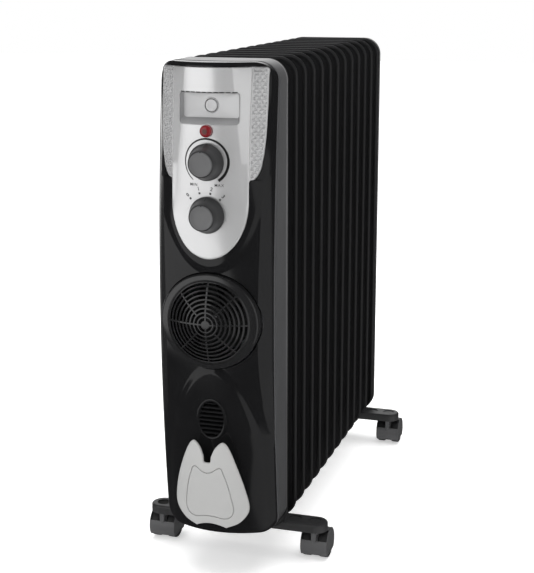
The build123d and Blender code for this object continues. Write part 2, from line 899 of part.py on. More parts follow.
def build_hood(name, x, pivot_y):
    """Nylon hood: round shroud over both wheels, middle web, neck and axle stubs."""
    axle_y = pivot_y + castor_trail
    half = castor_width / 2
    with BuildPart() as hood:
        with BuildSketch(Plane.YZ.offset(x - half)):
            with Locations((axle_y, castor_centre_z)):
                Circle(castor_radius)
                Circle(castor_radius - hood_wall, mode=Mode.SUBTRACT)
        extrude(amount=castor_width)
        # window over the front of the wheels, between the end rims
        with BuildSketch(Plane.XY.offset(window_floor)):
            with Locations((x, axle_y - 16)):
                Rectangle(castor_width - 2.8, 20)
        extrude(amount=20, mode=Mode.SUBTRACT)
        with BuildSketch(Plane.YZ.offset(x - web_half)):
            with Locations((axle_y, castor_centre_z)):
                Circle(castor_radius - 0.5)
        extrude(amount=2 * web_half)
        with BuildSketch(Plane.XY.offset(castor_centre_z)):
            with Locations((x, pivot_y)):
                Circle(web_half - 0.1)
        extrude(amount=foot_bottom - 0.4 - castor_centre_z)
        with BuildSketch(Plane.XY.offset(hood_floor)):
            with Locations((x, axle_y)):
                Rectangle(60, 60)
        extrude(amount=-10, mode=Mode.SUBTRACT)
        with BuildSketch(Plane.YZ.offset(x - half + 1.4)):
            with Locations((axle_y, wheel_radius)):
                Circle(axle_radius)
        extrude(amount=castor_width - 2.8)
        with BuildSketch(Plane.XY.offset(stem_bottom)):
            with Locations((x, pivot_y)):
                Circle(stem_radius + 0.02)
        extrude(amount=30, mode=Mode.SUBTRACT)
    finish(hood, f"{name}_hood")


def build_stem(name, x, pivot_y):
    with BuildPart() as stem:
        with BuildSketch(Plane.XY.offset(stem_bottom + 0.5)):
            with Locations((x, pivot_y)):
                Circle(stem_radius)
        extrude(amount=foot_bottom + 7.5 - stem_bottom - 0.5)
        chamfer(edges().group_by(Axis.Z)[-1], 0.6)
    finish(stem, f"{name}_stem")


def build_wheel(name, x, pivot_y, side):
    """One wheel, on the side of the web that side names as -1 or 1."""
    axle_y = pivot_y + castor_trail
    inner = x + side * (web_half + 0.4)
    with BuildPart() as wheel:
        with BuildSketch(Plane.YZ.offset(inner)):
            with Locations((axle_y, wheel_radius)):
                Circle(wheel_radius)
        extrude(amount=side * wheel_width)
        fillet(edges().filter_by(GeomType.CIRCLE), 1.2)
        with BuildSketch(Plane.YZ.offset(inner + side * wheel_width)):
            with Locations((axle_y, wheel_radius)):
                Circle(14)
                Circle(6, mode=Mode.SUBTRACT)
        extrude(amount=-side * 2.5, mode=Mode.SUBTRACT)
        with BuildSketch(Plane.YZ.offset(inner)):
            with Locations((axle_y, wheel_radius)):
                Circle(axle_radius + running_gap)
        extrude(amount=side * wheel_width, mode=Mode.SUBTRACT)
    place = "outer" if side * x > 0 else "inner"
    finish(wheel, f"{name}_wheel_{place}")


for row, gap in (("front", foot_gaps[0]), ("rear", foot_gaps[1])):
    pivot = section_y(gap) + fin_pitch / 2
    for hand, castor_centre in (("left", -castor_x), ("right", castor_x)):
        castor = f"castor_{row}_{hand}"
        build_hood(castor, castor_centre, pivot)
        build_stem(castor, castor_centre, pivot)
        build_wheel(castor, castor_centre, pivot, -1)
        build_wheel(castor, castor_centre, pivot, 1)
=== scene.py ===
"""Looks of the oil filled radiator heater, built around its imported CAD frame.

Lengths in this script are millimetres in the frame of the CAD model, +Z up, front facing -Y;
mesh_piece turns them into metres. The depths in the tables of the front moulding, the band and the
control panel count from FIRST, the plane of the first oil section.
"""

from math import asin, cos, degrees, hypot, pi, radians, sin, sqrt

import bmesh
import bpy
import numpy as np
from mathutils import Matrix, Vector
from mathutils.geometry import delaunay_2d_cdt


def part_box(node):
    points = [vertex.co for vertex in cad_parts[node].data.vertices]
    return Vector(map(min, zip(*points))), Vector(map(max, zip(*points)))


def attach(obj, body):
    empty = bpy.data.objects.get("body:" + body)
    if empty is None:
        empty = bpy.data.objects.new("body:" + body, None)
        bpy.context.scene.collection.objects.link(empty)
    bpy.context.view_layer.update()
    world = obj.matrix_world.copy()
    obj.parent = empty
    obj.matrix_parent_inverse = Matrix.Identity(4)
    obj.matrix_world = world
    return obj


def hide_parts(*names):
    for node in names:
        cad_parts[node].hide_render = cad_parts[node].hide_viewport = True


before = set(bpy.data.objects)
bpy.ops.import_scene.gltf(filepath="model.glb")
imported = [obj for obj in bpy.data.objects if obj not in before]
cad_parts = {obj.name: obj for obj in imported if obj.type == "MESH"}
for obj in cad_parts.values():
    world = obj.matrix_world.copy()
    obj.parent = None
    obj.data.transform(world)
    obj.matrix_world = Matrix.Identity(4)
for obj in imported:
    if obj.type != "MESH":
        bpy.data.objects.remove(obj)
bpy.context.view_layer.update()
MM = 0.001


def node_box(node):
    """Lowest and highest corner of a CAD node, in millimetres."""
    low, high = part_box(node)
    return np.array(low) / MM, np.array(high) / MM


def node_middle(node):
    low, high = node_box(node)
    return (low + high) / 2


# ---- places, read from the frame ----
FIN_COUNT = 13
FIRST = node_middle("fin_02")[1] - (node_middle("fin_03")[1] - node_middle("fin_02")[1])
PITCH = node_middle("fin_03")[1] - node_middle("fin_02")[1]
HALF = node_box("fin_02")[1][0]
FIN_LOW, TOP = node_box("fin_02")[0][2], node_box("fin_02")[1][2]
HOUSING_LOW = node_box("housing_shell")[0][2]
HOUSING_BACK = node_box("housing_shell")[1][1]
GRILLE_Z = node_middle("fan_grille")[2] - 1.5
VENT_Z = node_middle("vent_louvre")[2]
THERMOSTAT_Z = node_middle("thermostat_shaft")[2]
SELECTOR_Z = node_middle("selector_shaft")[2]
BUTTON_Z = node_middle("fan_button")[2]
LAMP_Z = node_middle("indicator_lens")[2]
KNOB_BACK, KNOB_FRONT = node_box("selector_knob")[1][1], node_box("selector_knob")[0][1]
TOP_RADIUS, FIN_LOW_RADIUS, HOUSING_LOW_RADIUS = 24.5, 26.5, 20.0
HEADERS = (90.0, 588.0)
CUT_DEPTHS = (FIRST - 120, FIRST - 40)


# ---- mesh helpers ----
def stacked(x, y, z):
    """Points from arrays of their coordinates."""
    return np.stack([x, y, z], axis=-1)


def ellipse(a, b, centre_z, count):
    """Outline of an upright ellipse on the middle line."""
    return [(a * cos(2 * pi * k / count), centre_z + b * sin(2 * pi * k / count)) for k in range(count)]


def mirrored(lines, rows):
    """Grids of x and z from the right-hand half of each row."""
    right = np.array(lines)
    x = np.concatenate([-right[:, :0:-1], right], axis=1)
    return x, np.repeat(rows[:, None], x.shape[1], axis=1)


def mesh_piece(name, verts, faces, body, slot, material, replaces=(), smooth_angle=40):
    """New object from millimetre points: rides a body, replaces CAD nodes, takes a material."""
    mesh = bpy.data.meshes.new(name)
    mesh.from_pydata((np.asarray(verts, float) * MM).tolist(), [], [tuple(f) for f in faces])
    mesh.validate()
    bm = bmesh.new()
    bm.from_mesh(mesh)
    bmesh.ops.remove_doubles(bm, verts=bm.verts, dist=2e-6)
    bmesh.ops.dissolve_degenerate(bm, edges=bm.edges, dist=1e-7)
    bmesh.ops.recalc_face_normals(bm, faces=bm.faces)
    bm.to_mesh(mesh)
    bm.free()
    piece = bpy.data.objects.new(name, mesh)
    bpy.context.scene.collection.objects.link(piece)
    shade(piece, smooth_angle)
    mesh.materials.append(material)
    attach(piece, body)
    if replaces:
        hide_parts(*replaces)
    return piece


def shade(piece, angle):
    """Smooth shading, with edges sharper than angle kept crisp."""
    mesh = piece.data
    mesh.polygons.foreach_set("use_smooth", [True] * len(mesh.polygons))
    bm = bmesh.new()
    bm.from_mesh(mesh)
    for edge in bm.edges:
        edge.smooth = len(edge.link_faces) == 2 and edge.calc_face_angle(0) < radians(angle)
    bm.to_mesh(mesh)
    bm.free()


def grid_faces(rows, columns, start=0, close_rows=False, close_columns=False):
    """Quads of a grid of points laid out row by row."""
    faces = []
    for i in range(rows if close_rows else rows - 1):
        for j in range(columns if close_columns else columns - 1):
            a = start + i * columns + j
            b = start + i * columns + (j + 1) % columns
            c = start + ((i + 1) % rows) * columns + (j + 1) % columns
            d = start + ((i + 1) % rows) * columns + j
            faces.append((a, b, c, d))
    return faces


def loft_loops(loops, capped=True, close=False):
    """Points and quads through closed loops with equal numbers of points."""
    count = len(loops[0])
    verts = [p for loop in loops for p in loop]
    faces = grid_faces(len(loops), count, close_rows=close, close_columns=True)
    if capped and not close:
        faces.append(tuple(reversed(range(count))))
        faces.append(tuple(range(len(verts) - count, len(verts))))
    return verts, faces


def joined(*parts):
    """Several (verts, faces) pairs as one."""
    verts, faces = [], []
    for part_verts, part_faces in parts:
        base = len(verts)
        verts.extend([tuple(v) for v in part_verts])
        faces.extend([tuple(base + i for i in f) for f in part_faces])
    return verts, faces


def revolved(profile, centre, segments=96, axis="y", close=False):
    """Ring surface from (radius, depth) points round an axis through centre."""
    verts = []
    for radius, depth in profile:
        for k in range(segments):
            a = 2 * pi * k / segments
            if axis == "y":
                verts.append((centre[0] + radius * cos(a), depth, centre[2] + radius * sin(a)))
            elif axis == "x":
                verts.append((depth, centre[1] + radius * cos(a), centre[2] + radius * sin(a)))
            else:
                verts.append((centre[0] + radius * cos(a), centre[1] + radius * sin(a), depth))
    faces = grid_faces(len(profile), segments, close_rows=close, close_columns=True)
    return verts, faces


def from_depth(base, pairs):
    """Profile points from (radius, depth) pairs whose depths count from a base."""
    return [(radius, base + depth) for radius, depth in pairs]


def arc_points(centre, radius, start, end, count):
    """Points of an arc, angles in degrees."""
    angles = np.radians(np.linspace(start, end, count))
    return [(centre[0] + radius * cos(a), centre[1] + radius * sin(a)) for a in angles]


def rounded_rectangle(x0, x1, z0, z1, low_radius, high_radius, per_corner=10, side_step=12.0):
    """Anticlockwise outline with side points about side_step apart, starting at the right side."""
    corners = [
        ((x1 - high_radius, z1 - high_radius), high_radius, 0),
        ((x0 + high_radius, z1 - high_radius), high_radius, 90),
        ((x0 + low_radius, z0 + low_radius), low_radius, 180),
        ((x1 - low_radius, z0 + low_radius), low_radius, 270),
    ]
    points = []
    for index, (centre, radius, turn) in enumerate(corners):
        arc = arc_points(centre, radius, turn, turn + 90, per_corner)
        following = corners[(index + 1) % 4]
        a = radians(following[2])
        target = (following[0][0] + following[1] * cos(a), following[0][1] + following[1] * sin(a))
        points.extend(arc)
        last = arc[-1]
        steps = max(1, int(hypot(target[0] - last[0], target[1] - last[1]) / side_step))
        for k in range(1, steps):
            t = k / steps
            points.append((last[0] + (target[0] - last[0]) * t, last[1] + (target[1] - last[1]) * t))
    return points


def outward_normals(loop):
    """Unit outward normals of an anticlockwise 2-D loop."""
    pts = np.array(loop, float)
    ahead = np.roll(pts, -1, axis=0) - pts
    behind = pts - np.roll(pts, 1, axis=0)
    ahead /= np.linalg.norm(ahead, axis=1)[:, None]
    behind /= np.linalg.norm(behind, axis=1)[:, None]
    tangent = ahead + behind
    tangent /= np.linalg.norm(tangent, axis=1)[:, None]
    return np.stack([tangent[:, 1], -tangent[:, 0]], axis=1)


def smoothstep(low, high, value):
    t = np.clip((value - low) / (high - low), 0.0, 1.0)
    return t * t * (3 - 2 * t)


# ---- materials ----
def shader_node(nodes, kind, **constants):
    """New node with constants on its inputs; an underscore stands for a space in an input's name."""
    made = nodes.new("ShaderNode" + kind)
    for label, value in constants.items():
        made.inputs[label.replace("_", " ")].default_value = value
    return made


def material(name, colour, roughness, metallic=0.0, coat=0.0, coat_roughness=0.1, specular=0.5,
             grain=(900.0, 0.05), mottle=(30.0, 0.12), rough_change=0.08, wear=0.0):
    """Principled surface with fine grain in its bump, and slow variation of colour and roughness."""
    made = bpy.data.materials.new(name)
    made.use_nodes = True
    nodes, links = made.node_tree.nodes, made.node_tree.links
    shader = nodes["Principled BSDF"]
    shader.inputs["Metallic"].default_value = metallic
    shader.inputs["Coat Weight"].default_value = coat
    shader.inputs["Coat Roughness"].default_value = coat_roughness
    shader.inputs["Specular IOR Level"].default_value = specular
    place = shader_node(nodes, "TexCoord")

    slow = shader_node(nodes, "TexNoise", Scale=mottle[0], Detail=4.0)
    links.new(place.outputs["Object"], slow.inputs["Vector"])
    ramp = nodes.new("ShaderNodeValToRGB")
    for index, (at, factor) in enumerate(((0.3, 1.0 - mottle[1]), (0.7, 1.0 + mottle[1]))):
        ramp.color_ramp.elements[index].position = at
        ramp.color_ramp.elements[index].color = (*[min(1.0, c * factor) for c in colour], 1.0)
    links.new(slow.outputs["Fac"], ramp.inputs["Fac"])
    surface = ramp.outputs["Color"]
    if wear:
        edges = nodes.new("ShaderNodeNewGeometry")
        sharp = shader_node(nodes, "MapRange", From_Min=0.52, From_Max=0.62, To_Max=wear)
        links.new(edges.outputs["Pointiness"], sharp.inputs["Value"])
        lift = nodes.new("ShaderNodeMix")
        lift.data_type = "RGBA"
        lift.inputs[7].default_value = (*[min(1.0, c * 1.8 + 0.02) for c in colour], 1.0)
        links.new(sharp.outputs["Result"], lift.inputs[0])
        links.new(surface, lift.inputs[6])
        surface = lift.outputs[2]
    links.new(surface, shader.inputs["Base Color"])

    smear = shader_node(nodes, "TexNoise", Scale=mottle[0] * 3.1, Detail=6.0)
    links.new(place.outputs["Object"], smear.inputs["Vector"])
    spread = shader_node(nodes, "MapRange", To_Min=max(0.02, roughness - rough_change),
                         To_Max=min(1.0, roughness + rough_change))
    links.new(smear.outputs["Fac"], spread.inputs["Value"])
    links.new(spread.outputs["Result"], shader.inputs["Roughness"])

    fine = shader_node(nodes, "TexNoise", Scale=grain[0], Detail=3.0)
    links.new(place.outputs["Object"], fine.inputs["Vector"])
    bump = shader_node(nodes, "Bump", Strength=grain[1], Distance=0.0004)
    links.new(fine.outputs["Fac"], bump.inputs["Height"])
    links.new(bump.outputs["Normal"], shader.inputs["Normal"])
    return made


ENAMEL = material("stove_enamel", (0.0125, 0.0125, 0.0132), 0.32, specular=0.5, grain=(420, 0.004), mottle=(30.0, 0.04),
                  rough_change=0.03)
BAND = material("graphite_paint", (0.085, 0.085, 0.088), 0.29, metallic=0.35, grain=(1500, 0.002),
                mottle=(30.0, 0.04), rough_change=0.03)
GLOSS = material("gloss_moulding", (0.006, 0.006, 0.0065), 0.13, grain=(260, 0.005), rough_change=0.03)
GRILLE = material("grille_moulding", (0.009, 0.009, 0.0095), 0.17, specular=1.0, grain=(260, 0.006), rough_change=0.03)
SILVER = material("silver_paint", (0.80, 0.80, 0.805), 0.25, metallic=0.66, grain=(1800, 0.010), mottle=(25, 0.02),
                  rough_change=0.03)
# Darker silver: the finish of the dimpled wings, and on the window floor and push button painted shade of the recess.
SILVER_TEXTURE_AND_RECESS_SHADE = material("silver_texture_and_recess_shade", (0.64, 0.64, 0.645), 0.3, metallic=0.6, grain=(1800, 0.010), mottle=(25, 0.02),
                    rough_change=0.03)
PALE = material("pale_moulding", (0.39, 0.39, 0.385), 0.42, grain=(1300, 0.10), mottle=(18, 0.03))
# Darker copy of the silver paint for the walls of the window recess: painted shade.
SHADED = material("silver_walls_painted_shade", (0.34, 0.34, 0.345), 0.4, metallic=0.3, grain=(1800, 0.02), mottle=(25, 0.03))
# Two copies of one knob plastic: the lighter one on the knob's face is painted light, the darker one on the grip and
# pointer is painted shade.
KNOB_PAINTED_LIGHT = material("knob_painted_light", (0.095, 0.095, 0.097), 0.36, grain=(1400, 0.10), mottle=(60, 0.05))
KNOB = material("knob_moulding_painted_shade", (0.03, 0.03, 0.031), 0.34, grain=(1400, 0.10), mottle=(60, 0.08))
FOOT = material("foot_moulding", (0.028, 0.028, 0.029), 0.38, grain=(1100, 0.12), wear=0.3)
NYLON = material("castor_nylon", (0.075, 0.075, 0.077), 0.34, grain=(900, 0.08), wear=0.3)
TREAD = material("castor_tread", (0.02, 0.02, 0.021), 0.5, grain=(700, 0.15))
ZINC = material("zinc_plate", (0.52, 0.53, 0.55), 0.34, metallic=1.0, grain=(700, 0.12), mottle=(90, 0.15))
STEEL = material("turned_steel", (0.5, 0.5, 0.51), 0.28, metallic=1.0, grain=(1600, 0.08))
SWITCH = material("switch_moulding", (0.5, 0.46, 0.38), 0.5, grain=(900, 0.08))
INNER = material("inner_moulding", (0.015, 0.015, 0.015), 0.5, grain=(800, 0.12))
RUBBER = material("gland_rubber", (0.015, 0.015, 0.015), 0.65, grain=(900, 0.2))
PRINT = material("black_print", (0.006, 0.006, 0.006), 0.4, grain=(1500, 0.03))
# Near-black for shadow gaps: the window slits, the sheet behind the vent and the left foot caps carry it as painted
# shade.
DARK = material("shadow_gap", (0.003, 0.003, 0.003), 0.7, grain=(500, 0.1))


LENS_RADIUS = 7.1


def lens_material():
    """Clear dark red cap, browner in the middle where the lamp stands behind it."""
    made = material("lamp_lens", (0.22, 0.01, 0.02), 0.15, coat=0.5, coat_roughness=0.05, grain=(300, 0.02))
    nodes, links = made.node_tree.nodes, made.node_tree.links
    shader = nodes["Principled BSDF"]
    place = nodes.new("ShaderNodeTexCoord")
    apart = nodes.new("ShaderNodeVectorMath")
    apart.operation = "MULTIPLY_ADD"
    apart.inputs[1].default_value = (1 / MM, 0.0, 1 / MM)
    apart.inputs[2].default_value = (0.0, 0.0, -LAMP_Z)
    links.new(place.outputs["Object"], apart.inputs[0])
    radius = nodes.new("ShaderNodeVectorMath")
    radius.operation = "LENGTH"
    links.new(apart.outputs["Vector"], radius.inputs[0])
    ramp = nodes.new("ShaderNodeValToRGB")
    ramp.color_ramp.elements[0].position = 0.30
    ramp.color_ramp.elements[0].color = (0.06, 0.012, 0.010, 1.0)
    ramp.color_ramp.elements[1].position = 0.52
    ramp.color_ramp.elements[1].color = (0.15, 0.009, 0.013, 1.0)
    scale = nodes.new("ShaderNodeMath")
    scale.operation = "MULTIPLY"
    scale.inputs[1].default_value = 1 / LENS_RADIUS
    links.new(radius.outputs["Value"], scale.inputs[0])
    links.new(scale.outputs["Value"], ramp.inputs["Fac"])
    links.new(ramp.outputs["Color"], shader.inputs["Base Color"])
    return made


LENS = lens_material()


# ---- curves and surfaces shared by several pieces ----
def eased(value, places, heights):
    """Smooth curve through points, flat outside them."""
    places, heights = np.array(places, float), np.array(heights, float)
    if places[0] > places[-1]:
        places, heights = places[::-1], heights[::-1]
    value = np.clip(np.asarray(value, float), places[0], places[-1])
    slopes = np.gradient(heights, places)
    k = np.clip(np.searchsorted(places, value) - 1, 0, len(places) - 2)
    step = places[k + 1] - places[k]
    t = (value - places[k]) / step
    return (heights[k] * (1 + 2 * t) * (1 - t) ** 2 + slopes[k] * step * t * (1 - t) ** 2
            + heights[k + 1] * t * t * (3 - 2 * t) + slopes[k + 1] * step * t * t * (t - 1))


def outline_half(z, x1, z0, z1, low_radius, high_radius):
    """Half width at height z of a rounded rectangle centred on x = 0."""
    z = np.asarray(z, float)
    low = np.clip(z0 + low_radius - z, 0, low_radius)
    high = np.clip(z - z1 + high_radius, 0, high_radius)
    return (x1 - low_radius + np.sqrt(low_radius**2 - low**2)
            - high_radius + np.sqrt(high_radius**2 - high**2))


def outline_inside(x, z, x1, z0, z1, low_radius, high_radius):
    """Distance inside a rounded rectangle centred on x = 0."""
    radius = np.where(z > (z0 + z1) / 2, high_radius, low_radius)
    across = np.abs(x) - (x1 - radius)
    along = np.maximum(z - (z1 - radius), (z0 + radius) - z)
    corner = radius - np.hypot(np.maximum(across, 0), np.maximum(along, 0))
    return np.where((across > 0) & (along > 0), corner, radius - np.maximum(across, along))


def rounding(distance, radius):
    """Drop of a quarter-round edge at a distance inside the outline."""
    short = np.clip(radius - distance, 0, radius)
    return radius - np.sqrt(radius**2 - short**2)


def shell(front, back):
    """Closed body between two grids of points with the same rows and columns."""
    rows, columns = front.shape[:2]
    size = rows * columns
    verts = np.concatenate([front.reshape(-1, 3), back.reshape(-1, 3)])
    faces = grid_faces(rows, columns) + [tuple(reversed(f)) for f in grid_faces(rows, columns, size)]
    ring = [j for j in range(columns)] + [i * columns + columns - 1 for i in range(1, rows)]
    ring += [(rows - 1) * columns + j for j in range(columns - 2, -1, -1)]
    ring += [i * columns for i in range(rows - 2, 0, -1)]
    for k, a in enumerate(ring):
        b = ring[(k + 1) % len(ring)]
        faces.append((b, a, a + size, b + size))
    return verts, faces


def turned(profile, centre, segments=72, axis="y"):
    """Closed turned body from (radius, depth) points, flat at both ends."""
    verts, faces = revolved(profile, centre, segments, axis)
    faces.append(tuple(reversed(range(segments))))
    faces.append(tuple(range(len(verts) - segments, len(verts))))
    return verts, faces


def swept(outline, profile, depth_of):
    """Closed ring round an outline: profile gives (inset, depth) pairs, depth_of the zero depth."""
    points, normals = np.array(outline, float), outward_normals(outline)
    loops = []
    for inset, depth in profile:
        moved = points - normals * inset
        zero = depth_of(moved[:, 0], moved[:, 1])
        loops.append(stacked(moved[:, 0], zero + depth, moved[:, 1]))
    return loft_loops(loops, close=True)


def bar(start, end, width, surface, thick, count=12):
    """Straight closed rib from start to end in (x, z), lying on a surface(x, z)."""
    start, end = np.array(start, float), np.array(end, float)
    along = (end - start) / np.linalg.norm(end - start)
    side = np.array([-along[1], along[0]]) * width / 2
    loops = []
    for t in np.linspace(0, 1, count):
        p = start + (end - start) * t
        loop = []
        for s, depth in ((-1, thick), (-1, 0.35), (-0.7, 0.0), (0.7, 0.0), (1, 0.35), (1, thick)):
            q = p + side * s
            loop.append((q[0], float(surface(q[0], q[1])) + depth, q[1]))
        loops.append(loop)
    return loft_loops(loops)


def filled(loop, spacing):
    """Points and triangles inside a closed 2-D loop, the loop's own points first."""
    pts = np.array(loop, float)
    xs = np.arange(pts[:, 0].min(), pts[:, 0].max(), spacing)
    zs = np.arange(pts[:, 1].min(), pts[:, 1].max(), spacing)
    grid = np.stack(np.meshgrid(xs, zs), axis=-1).reshape(-1, 2)
    ahead = np.roll(pts, -1, axis=0)
    inside = np.zeros(len(grid), bool)
    near = np.full(len(grid), 1e9)
    for a, b in zip(pts, ahead):
        crosses = (a[1] > grid[:, 1]) != (b[1] > grid[:, 1])
        if a[1] != b[1]:
            at = a[0] + (grid[:, 1] - a[1]) * (b[0] - a[0]) / (b[1] - a[1])
            inside ^= crosses & (grid[:, 0] < at)
        run = b - a
        t = np.clip(((grid - a) @ run) / max(1e-9, run @ run), 0, 1)
        near = np.minimum(near, np.linalg.norm(grid - a - t[:, None] * run, axis=1))
    grid = grid[inside & (near > spacing * 0.5)]
    coords = [Vector(p) for p in np.concatenate([pts, grid])]
    result = delaunay_2d_cdt(coords, [], [list(range(len(pts)))], 1, 1e-5)
    return [tuple(v) for v in result[0]], [tuple(f) for f in result[2]]


def moulded_plate(loop, surface, thick, bevel, spacing=2.5):
    """Closed plate with a rounded front edge, filling a loop on a surface(x, z)."""
    pts, normals = np.array(loop, float), outward_normals(loop)
    loops = []
    for inset, depth in ((0, thick), (0, bevel), (0.13 * bevel, 0.5 * bevel), (0.5 * bevel, 0.13 * bevel),
                         (bevel, 0.0)):
        moved = pts - normals * inset
        loops.append(stacked(moved[:, 0], surface(moved[:, 0], moved[:, 1]) + depth, moved[:, 1]))
    side = loft_loops(loops, capped=False)
    parts = [side]
    for ring, depth in ((loops[-1], 0.0), (loops[0], thick)):
        flat, faces = filled(ring[:, [0, 2]], spacing)
        flat = np.array(flat)
        parts.append((stacked(flat[:, 0], surface(flat[:, 0], flat[:, 1]) + depth, flat[:, 1]), faces))
    return joined(*parts)


def cut(piece, verts, faces):
    """Takes a closed body, in millimetres, out of a piece."""
    mesh = bpy.data.meshes.new("cutter")
    mesh.from_pydata((np.asarray(verts, float) * MM).tolist(), [], [tuple(f) for f in faces])
    bm = bmesh.new()
    bm.from_mesh(mesh)
    bmesh.ops.recalc_face_normals(bm, faces=bm.faces)
    bm.to_mesh(mesh)
    bm.free()
    cutter = bpy.data.objects.new("cutter", mesh)
    bpy.context.scene.collection.objects.link(cutter)
    change = piece.modifiers.new("cut", "BOOLEAN")
    change.operation, change.solver, change.object = "DIFFERENCE", "EXACT", cutter
    bpy.context.view_layer.update()
    made = bpy.data.meshes.new_from_object(piece.evaluated_get(bpy.context.evaluated_depsgraph_get()))
    piece.modifiers.remove(change)
    piece.data = made
    bpy.data.objects.remove(cutter)
    bpy.data.meshes.remove(mesh)


def drill(piece, outline):
    """Cuts an (x, z) outline right through the front."""
    cut(piece, *loft_loops([[(px, depth, pz) for px, pz in outline] for depth in CUT_DEPTHS]))


# ---- oil sections ----
PLATE_INSET, HALF_SHEET = 6.0, 1.0
HEM = [(6.3, -0.9), (5.6, -1.15), (4.8, -1.8), (3.8, -2.35), (2.5, -2.5), (1.2, -2.1), (0.35, -1.2), (0.0, 0.0)]
HEM_MIDDLE = HEM + [(inset, -depth) for inset, depth in reversed(HEM[:-1])]
HEM_LAST = HEM + [(0.0, 11.6), (0.4, 12.6), (0.9, 13.0), (1.5, 12.6), (1.7, 11.6), (1.7, 3.0), (2.2, 1.6), (6.3, 0.9)]


def embossing(x, z):
    """Height of the header discs and oil columns over the sheet."""
    disc = np.maximum(*[9.0 * (1 - smoothstep(23.0, 30.0, np.hypot(x, z - h))) for h in HEADERS])
    between = (z > HEADERS[0]) & (z < HEADERS[1])
    column = 5.5 * (1 - smoothstep(7.0, 12.5, np.abs(np.abs(x) - 20.0))) * between
    return np.maximum(disc, column)


def section_piece(index):
    y = FIRST + index * PITCH
    low, high = FIN_LOW + PLATE_INSET, TOP - PLATE_INSET
    low_radius, high_radius = FIN_LOW_RADIUS - PLATE_INSET, TOP_RADIUS - PLATE_INSET
    turns = np.radians(np.arange(0, 90, 10))
    zs = np.concatenate([
        low + low_radius * (1 - np.cos(turns)),
        np.arange(low + low_radius, 122, 2.0), np.linspace(122, 556, 11),
        np.arange(558, high - high_radius, 2.0),
        high - high_radius * (1 - np.cos(turns[::-1])),
    ])
    plate_half = HALF - PLATE_INSET
    half = np.concatenate([np.arange(0, 34, 1.9), np.linspace(34, plate_half, 6)]) / plate_half
    columns = np.concatenate([-half[:0:-1], half])
    widths = outline_half(zs, plate_half, low, high, low_radius, high_radius)
    x = widths[:, None] * columns[None, :]
    z = np.repeat(zs[:, None], len(columns), axis=1)
    rise = embossing(x, z) + HALF_SHEET
    plate = shell(stacked(x, y - rise, z), stacked(x, y + rise, z))
    outline = rounded_rectangle(-HALF, HALF, FIN_LOW, TOP, FIN_LOW_RADIUS, TOP_RADIUS, 14, 30.0)
    last = index == FIN_COUNT - 1
    hem = swept(outline, HEM_LAST if last else HEM_MIDDLE, lambda px, pz: np.full(len(px), y))
    parts = [plate, hem]
    for height in HEADERS:
        front = y - PITCH / 2
        if index == 0:
            front = y - 12.8 if height == HEADERS[0] else y
        back = y if last else y + PITCH / 2
        profile = [(19.2, front + 0.01), (20.9, front + 0.2), (21.1, front + 1.1), (20.5, front + 1.8),
                   (20.0, front + 2.2), (20.0, y), (20.0, back - 2.2), (20.5, back - 1.8),
                   (21.1, back - 1.1), (20.9, back - 0.2), (19.2, back - 0.01)]
        if last:
            profile = profile[:6]
        if index == 0 and height == HEADERS[1]:
            profile = profile[5:]
        parts.append(turned(profile, (0, 0, height), 48))
    verts, faces = joined(*parts)
    name = f"fin_{index + 1:02d}"
    mesh_piece(f"section_{index + 1:02d}", verts, faces, "heater", "black_enamel", ENAMEL, (name,), 35)


for number in range(FIN_COUNT):
    section_piece(number)

plug_y = node_box("oil_filler_plug")[0][1]
hexagon = [(8.0 * cos(pi / 3 * k), HEADERS[1] + 8.0 * sin(pi / 3 * k)) for k in range(6)]
loops = []
for scale, depth in ((1.0, -0.5), (1.0, 1.9), (0.93, 2.4), (0.86, 2.55)):
    loops.append([(x * scale, plug_y + depth, HEADERS[1] + (z - HEADERS[1]) * scale) for x, z in hexagon])
plug = joined(loft_loops(loops), turned([(9.6, plug_y - 0.3), (9.6, plug_y + 0.6), (9.0, plug_y + 0.9)],
                                        (0, 0, HEADERS[1]), 40))
mesh_piece("filler_plug", *plug, "heater", "black_enamel", ENAMEL, ("oil_filler_plug",), 30)


# ---- housing band and front moulding ----
COVER_HALF = 72.4
CROWN_Z = (48, 120, 185, 225, 270, 340, 450, 560, 648)
CROWN = (64, 71.5, 73.5, 74.5, 75.5, 76.5, 77.5, 77.5, 75)
COVER_OUTLINE = (COVER_HALF, 59.6, 635.5, 19.5, 24.0)
JOINT_CROWN = -57.5
# half width, half height and centre height of the ellipses that end the raised fields
TONGUE = (68.0, 130.0, 520.0)
ARCH = (63.0, 168.0, 110.0)
FIELD_RISE = 3.1


def side_depth(z):
    """Depth of the line along which band and front moulding meet at the sides."""
    return -55.5 + 20.0 * ((z - 325.0) / 290.0) ** 2


def strip_inner(z):
    z = np.asarray(z, float)
    low = 57.5 + 12.0 * ((305.0 - z) / 130.0) ** 2
    high = 57.5 + 8.0 * ((z - 305.0) / 270.0) ** 2
    return np.minimum(np.where(z < 305, low, np.minimum(high, 68.0)), 71.0)


def strip_drop(z):
    low = np.maximum(3.0, 18.0 - 15.0 * ((305.0 - z) / 115.0) ** 2)
    return np.where(z < 305, low, 18.0 - 6.0 * ((z - 305.0) / 290.0) ** 2)


def bow(x, half, edge, crown):
    """Arc across the front through (half, edge) and (0, crown)."""
    sagitta = np.maximum(edge - crown, 0.05)
    radius = (half**2 + sagitta**2) / (2 * sagitta)
    return crown + radius - np.sqrt(np.maximum(radius**2 - x**2, 0.0))


def base_surface(x, z):
    """Front moulding without its raised fields."""
    x, z = np.abs(np.asarray(x, float)), np.asarray(z, float)
    inner, side = strip_inner(z), side_depth(z)
    strip = side - strip_drop(z)
    face = bow(np.minimum(x, inner), inner, strip, -eased(z, CROWN_Z, CROWN))
    slope = strip + (side - strip) * (x - inner) / (COVER_HALF - inner)
    return np.where(x > inner, slope, face)


def inside_ellipse(x, z, a, b, centre):
    ratio = np.hypot(x / a, (z - centre) / b) + 1e-6
    return (1 - ratio) * ratio / np.hypot(x / a**2, (z - centre) / b**2).clip(1e-6)


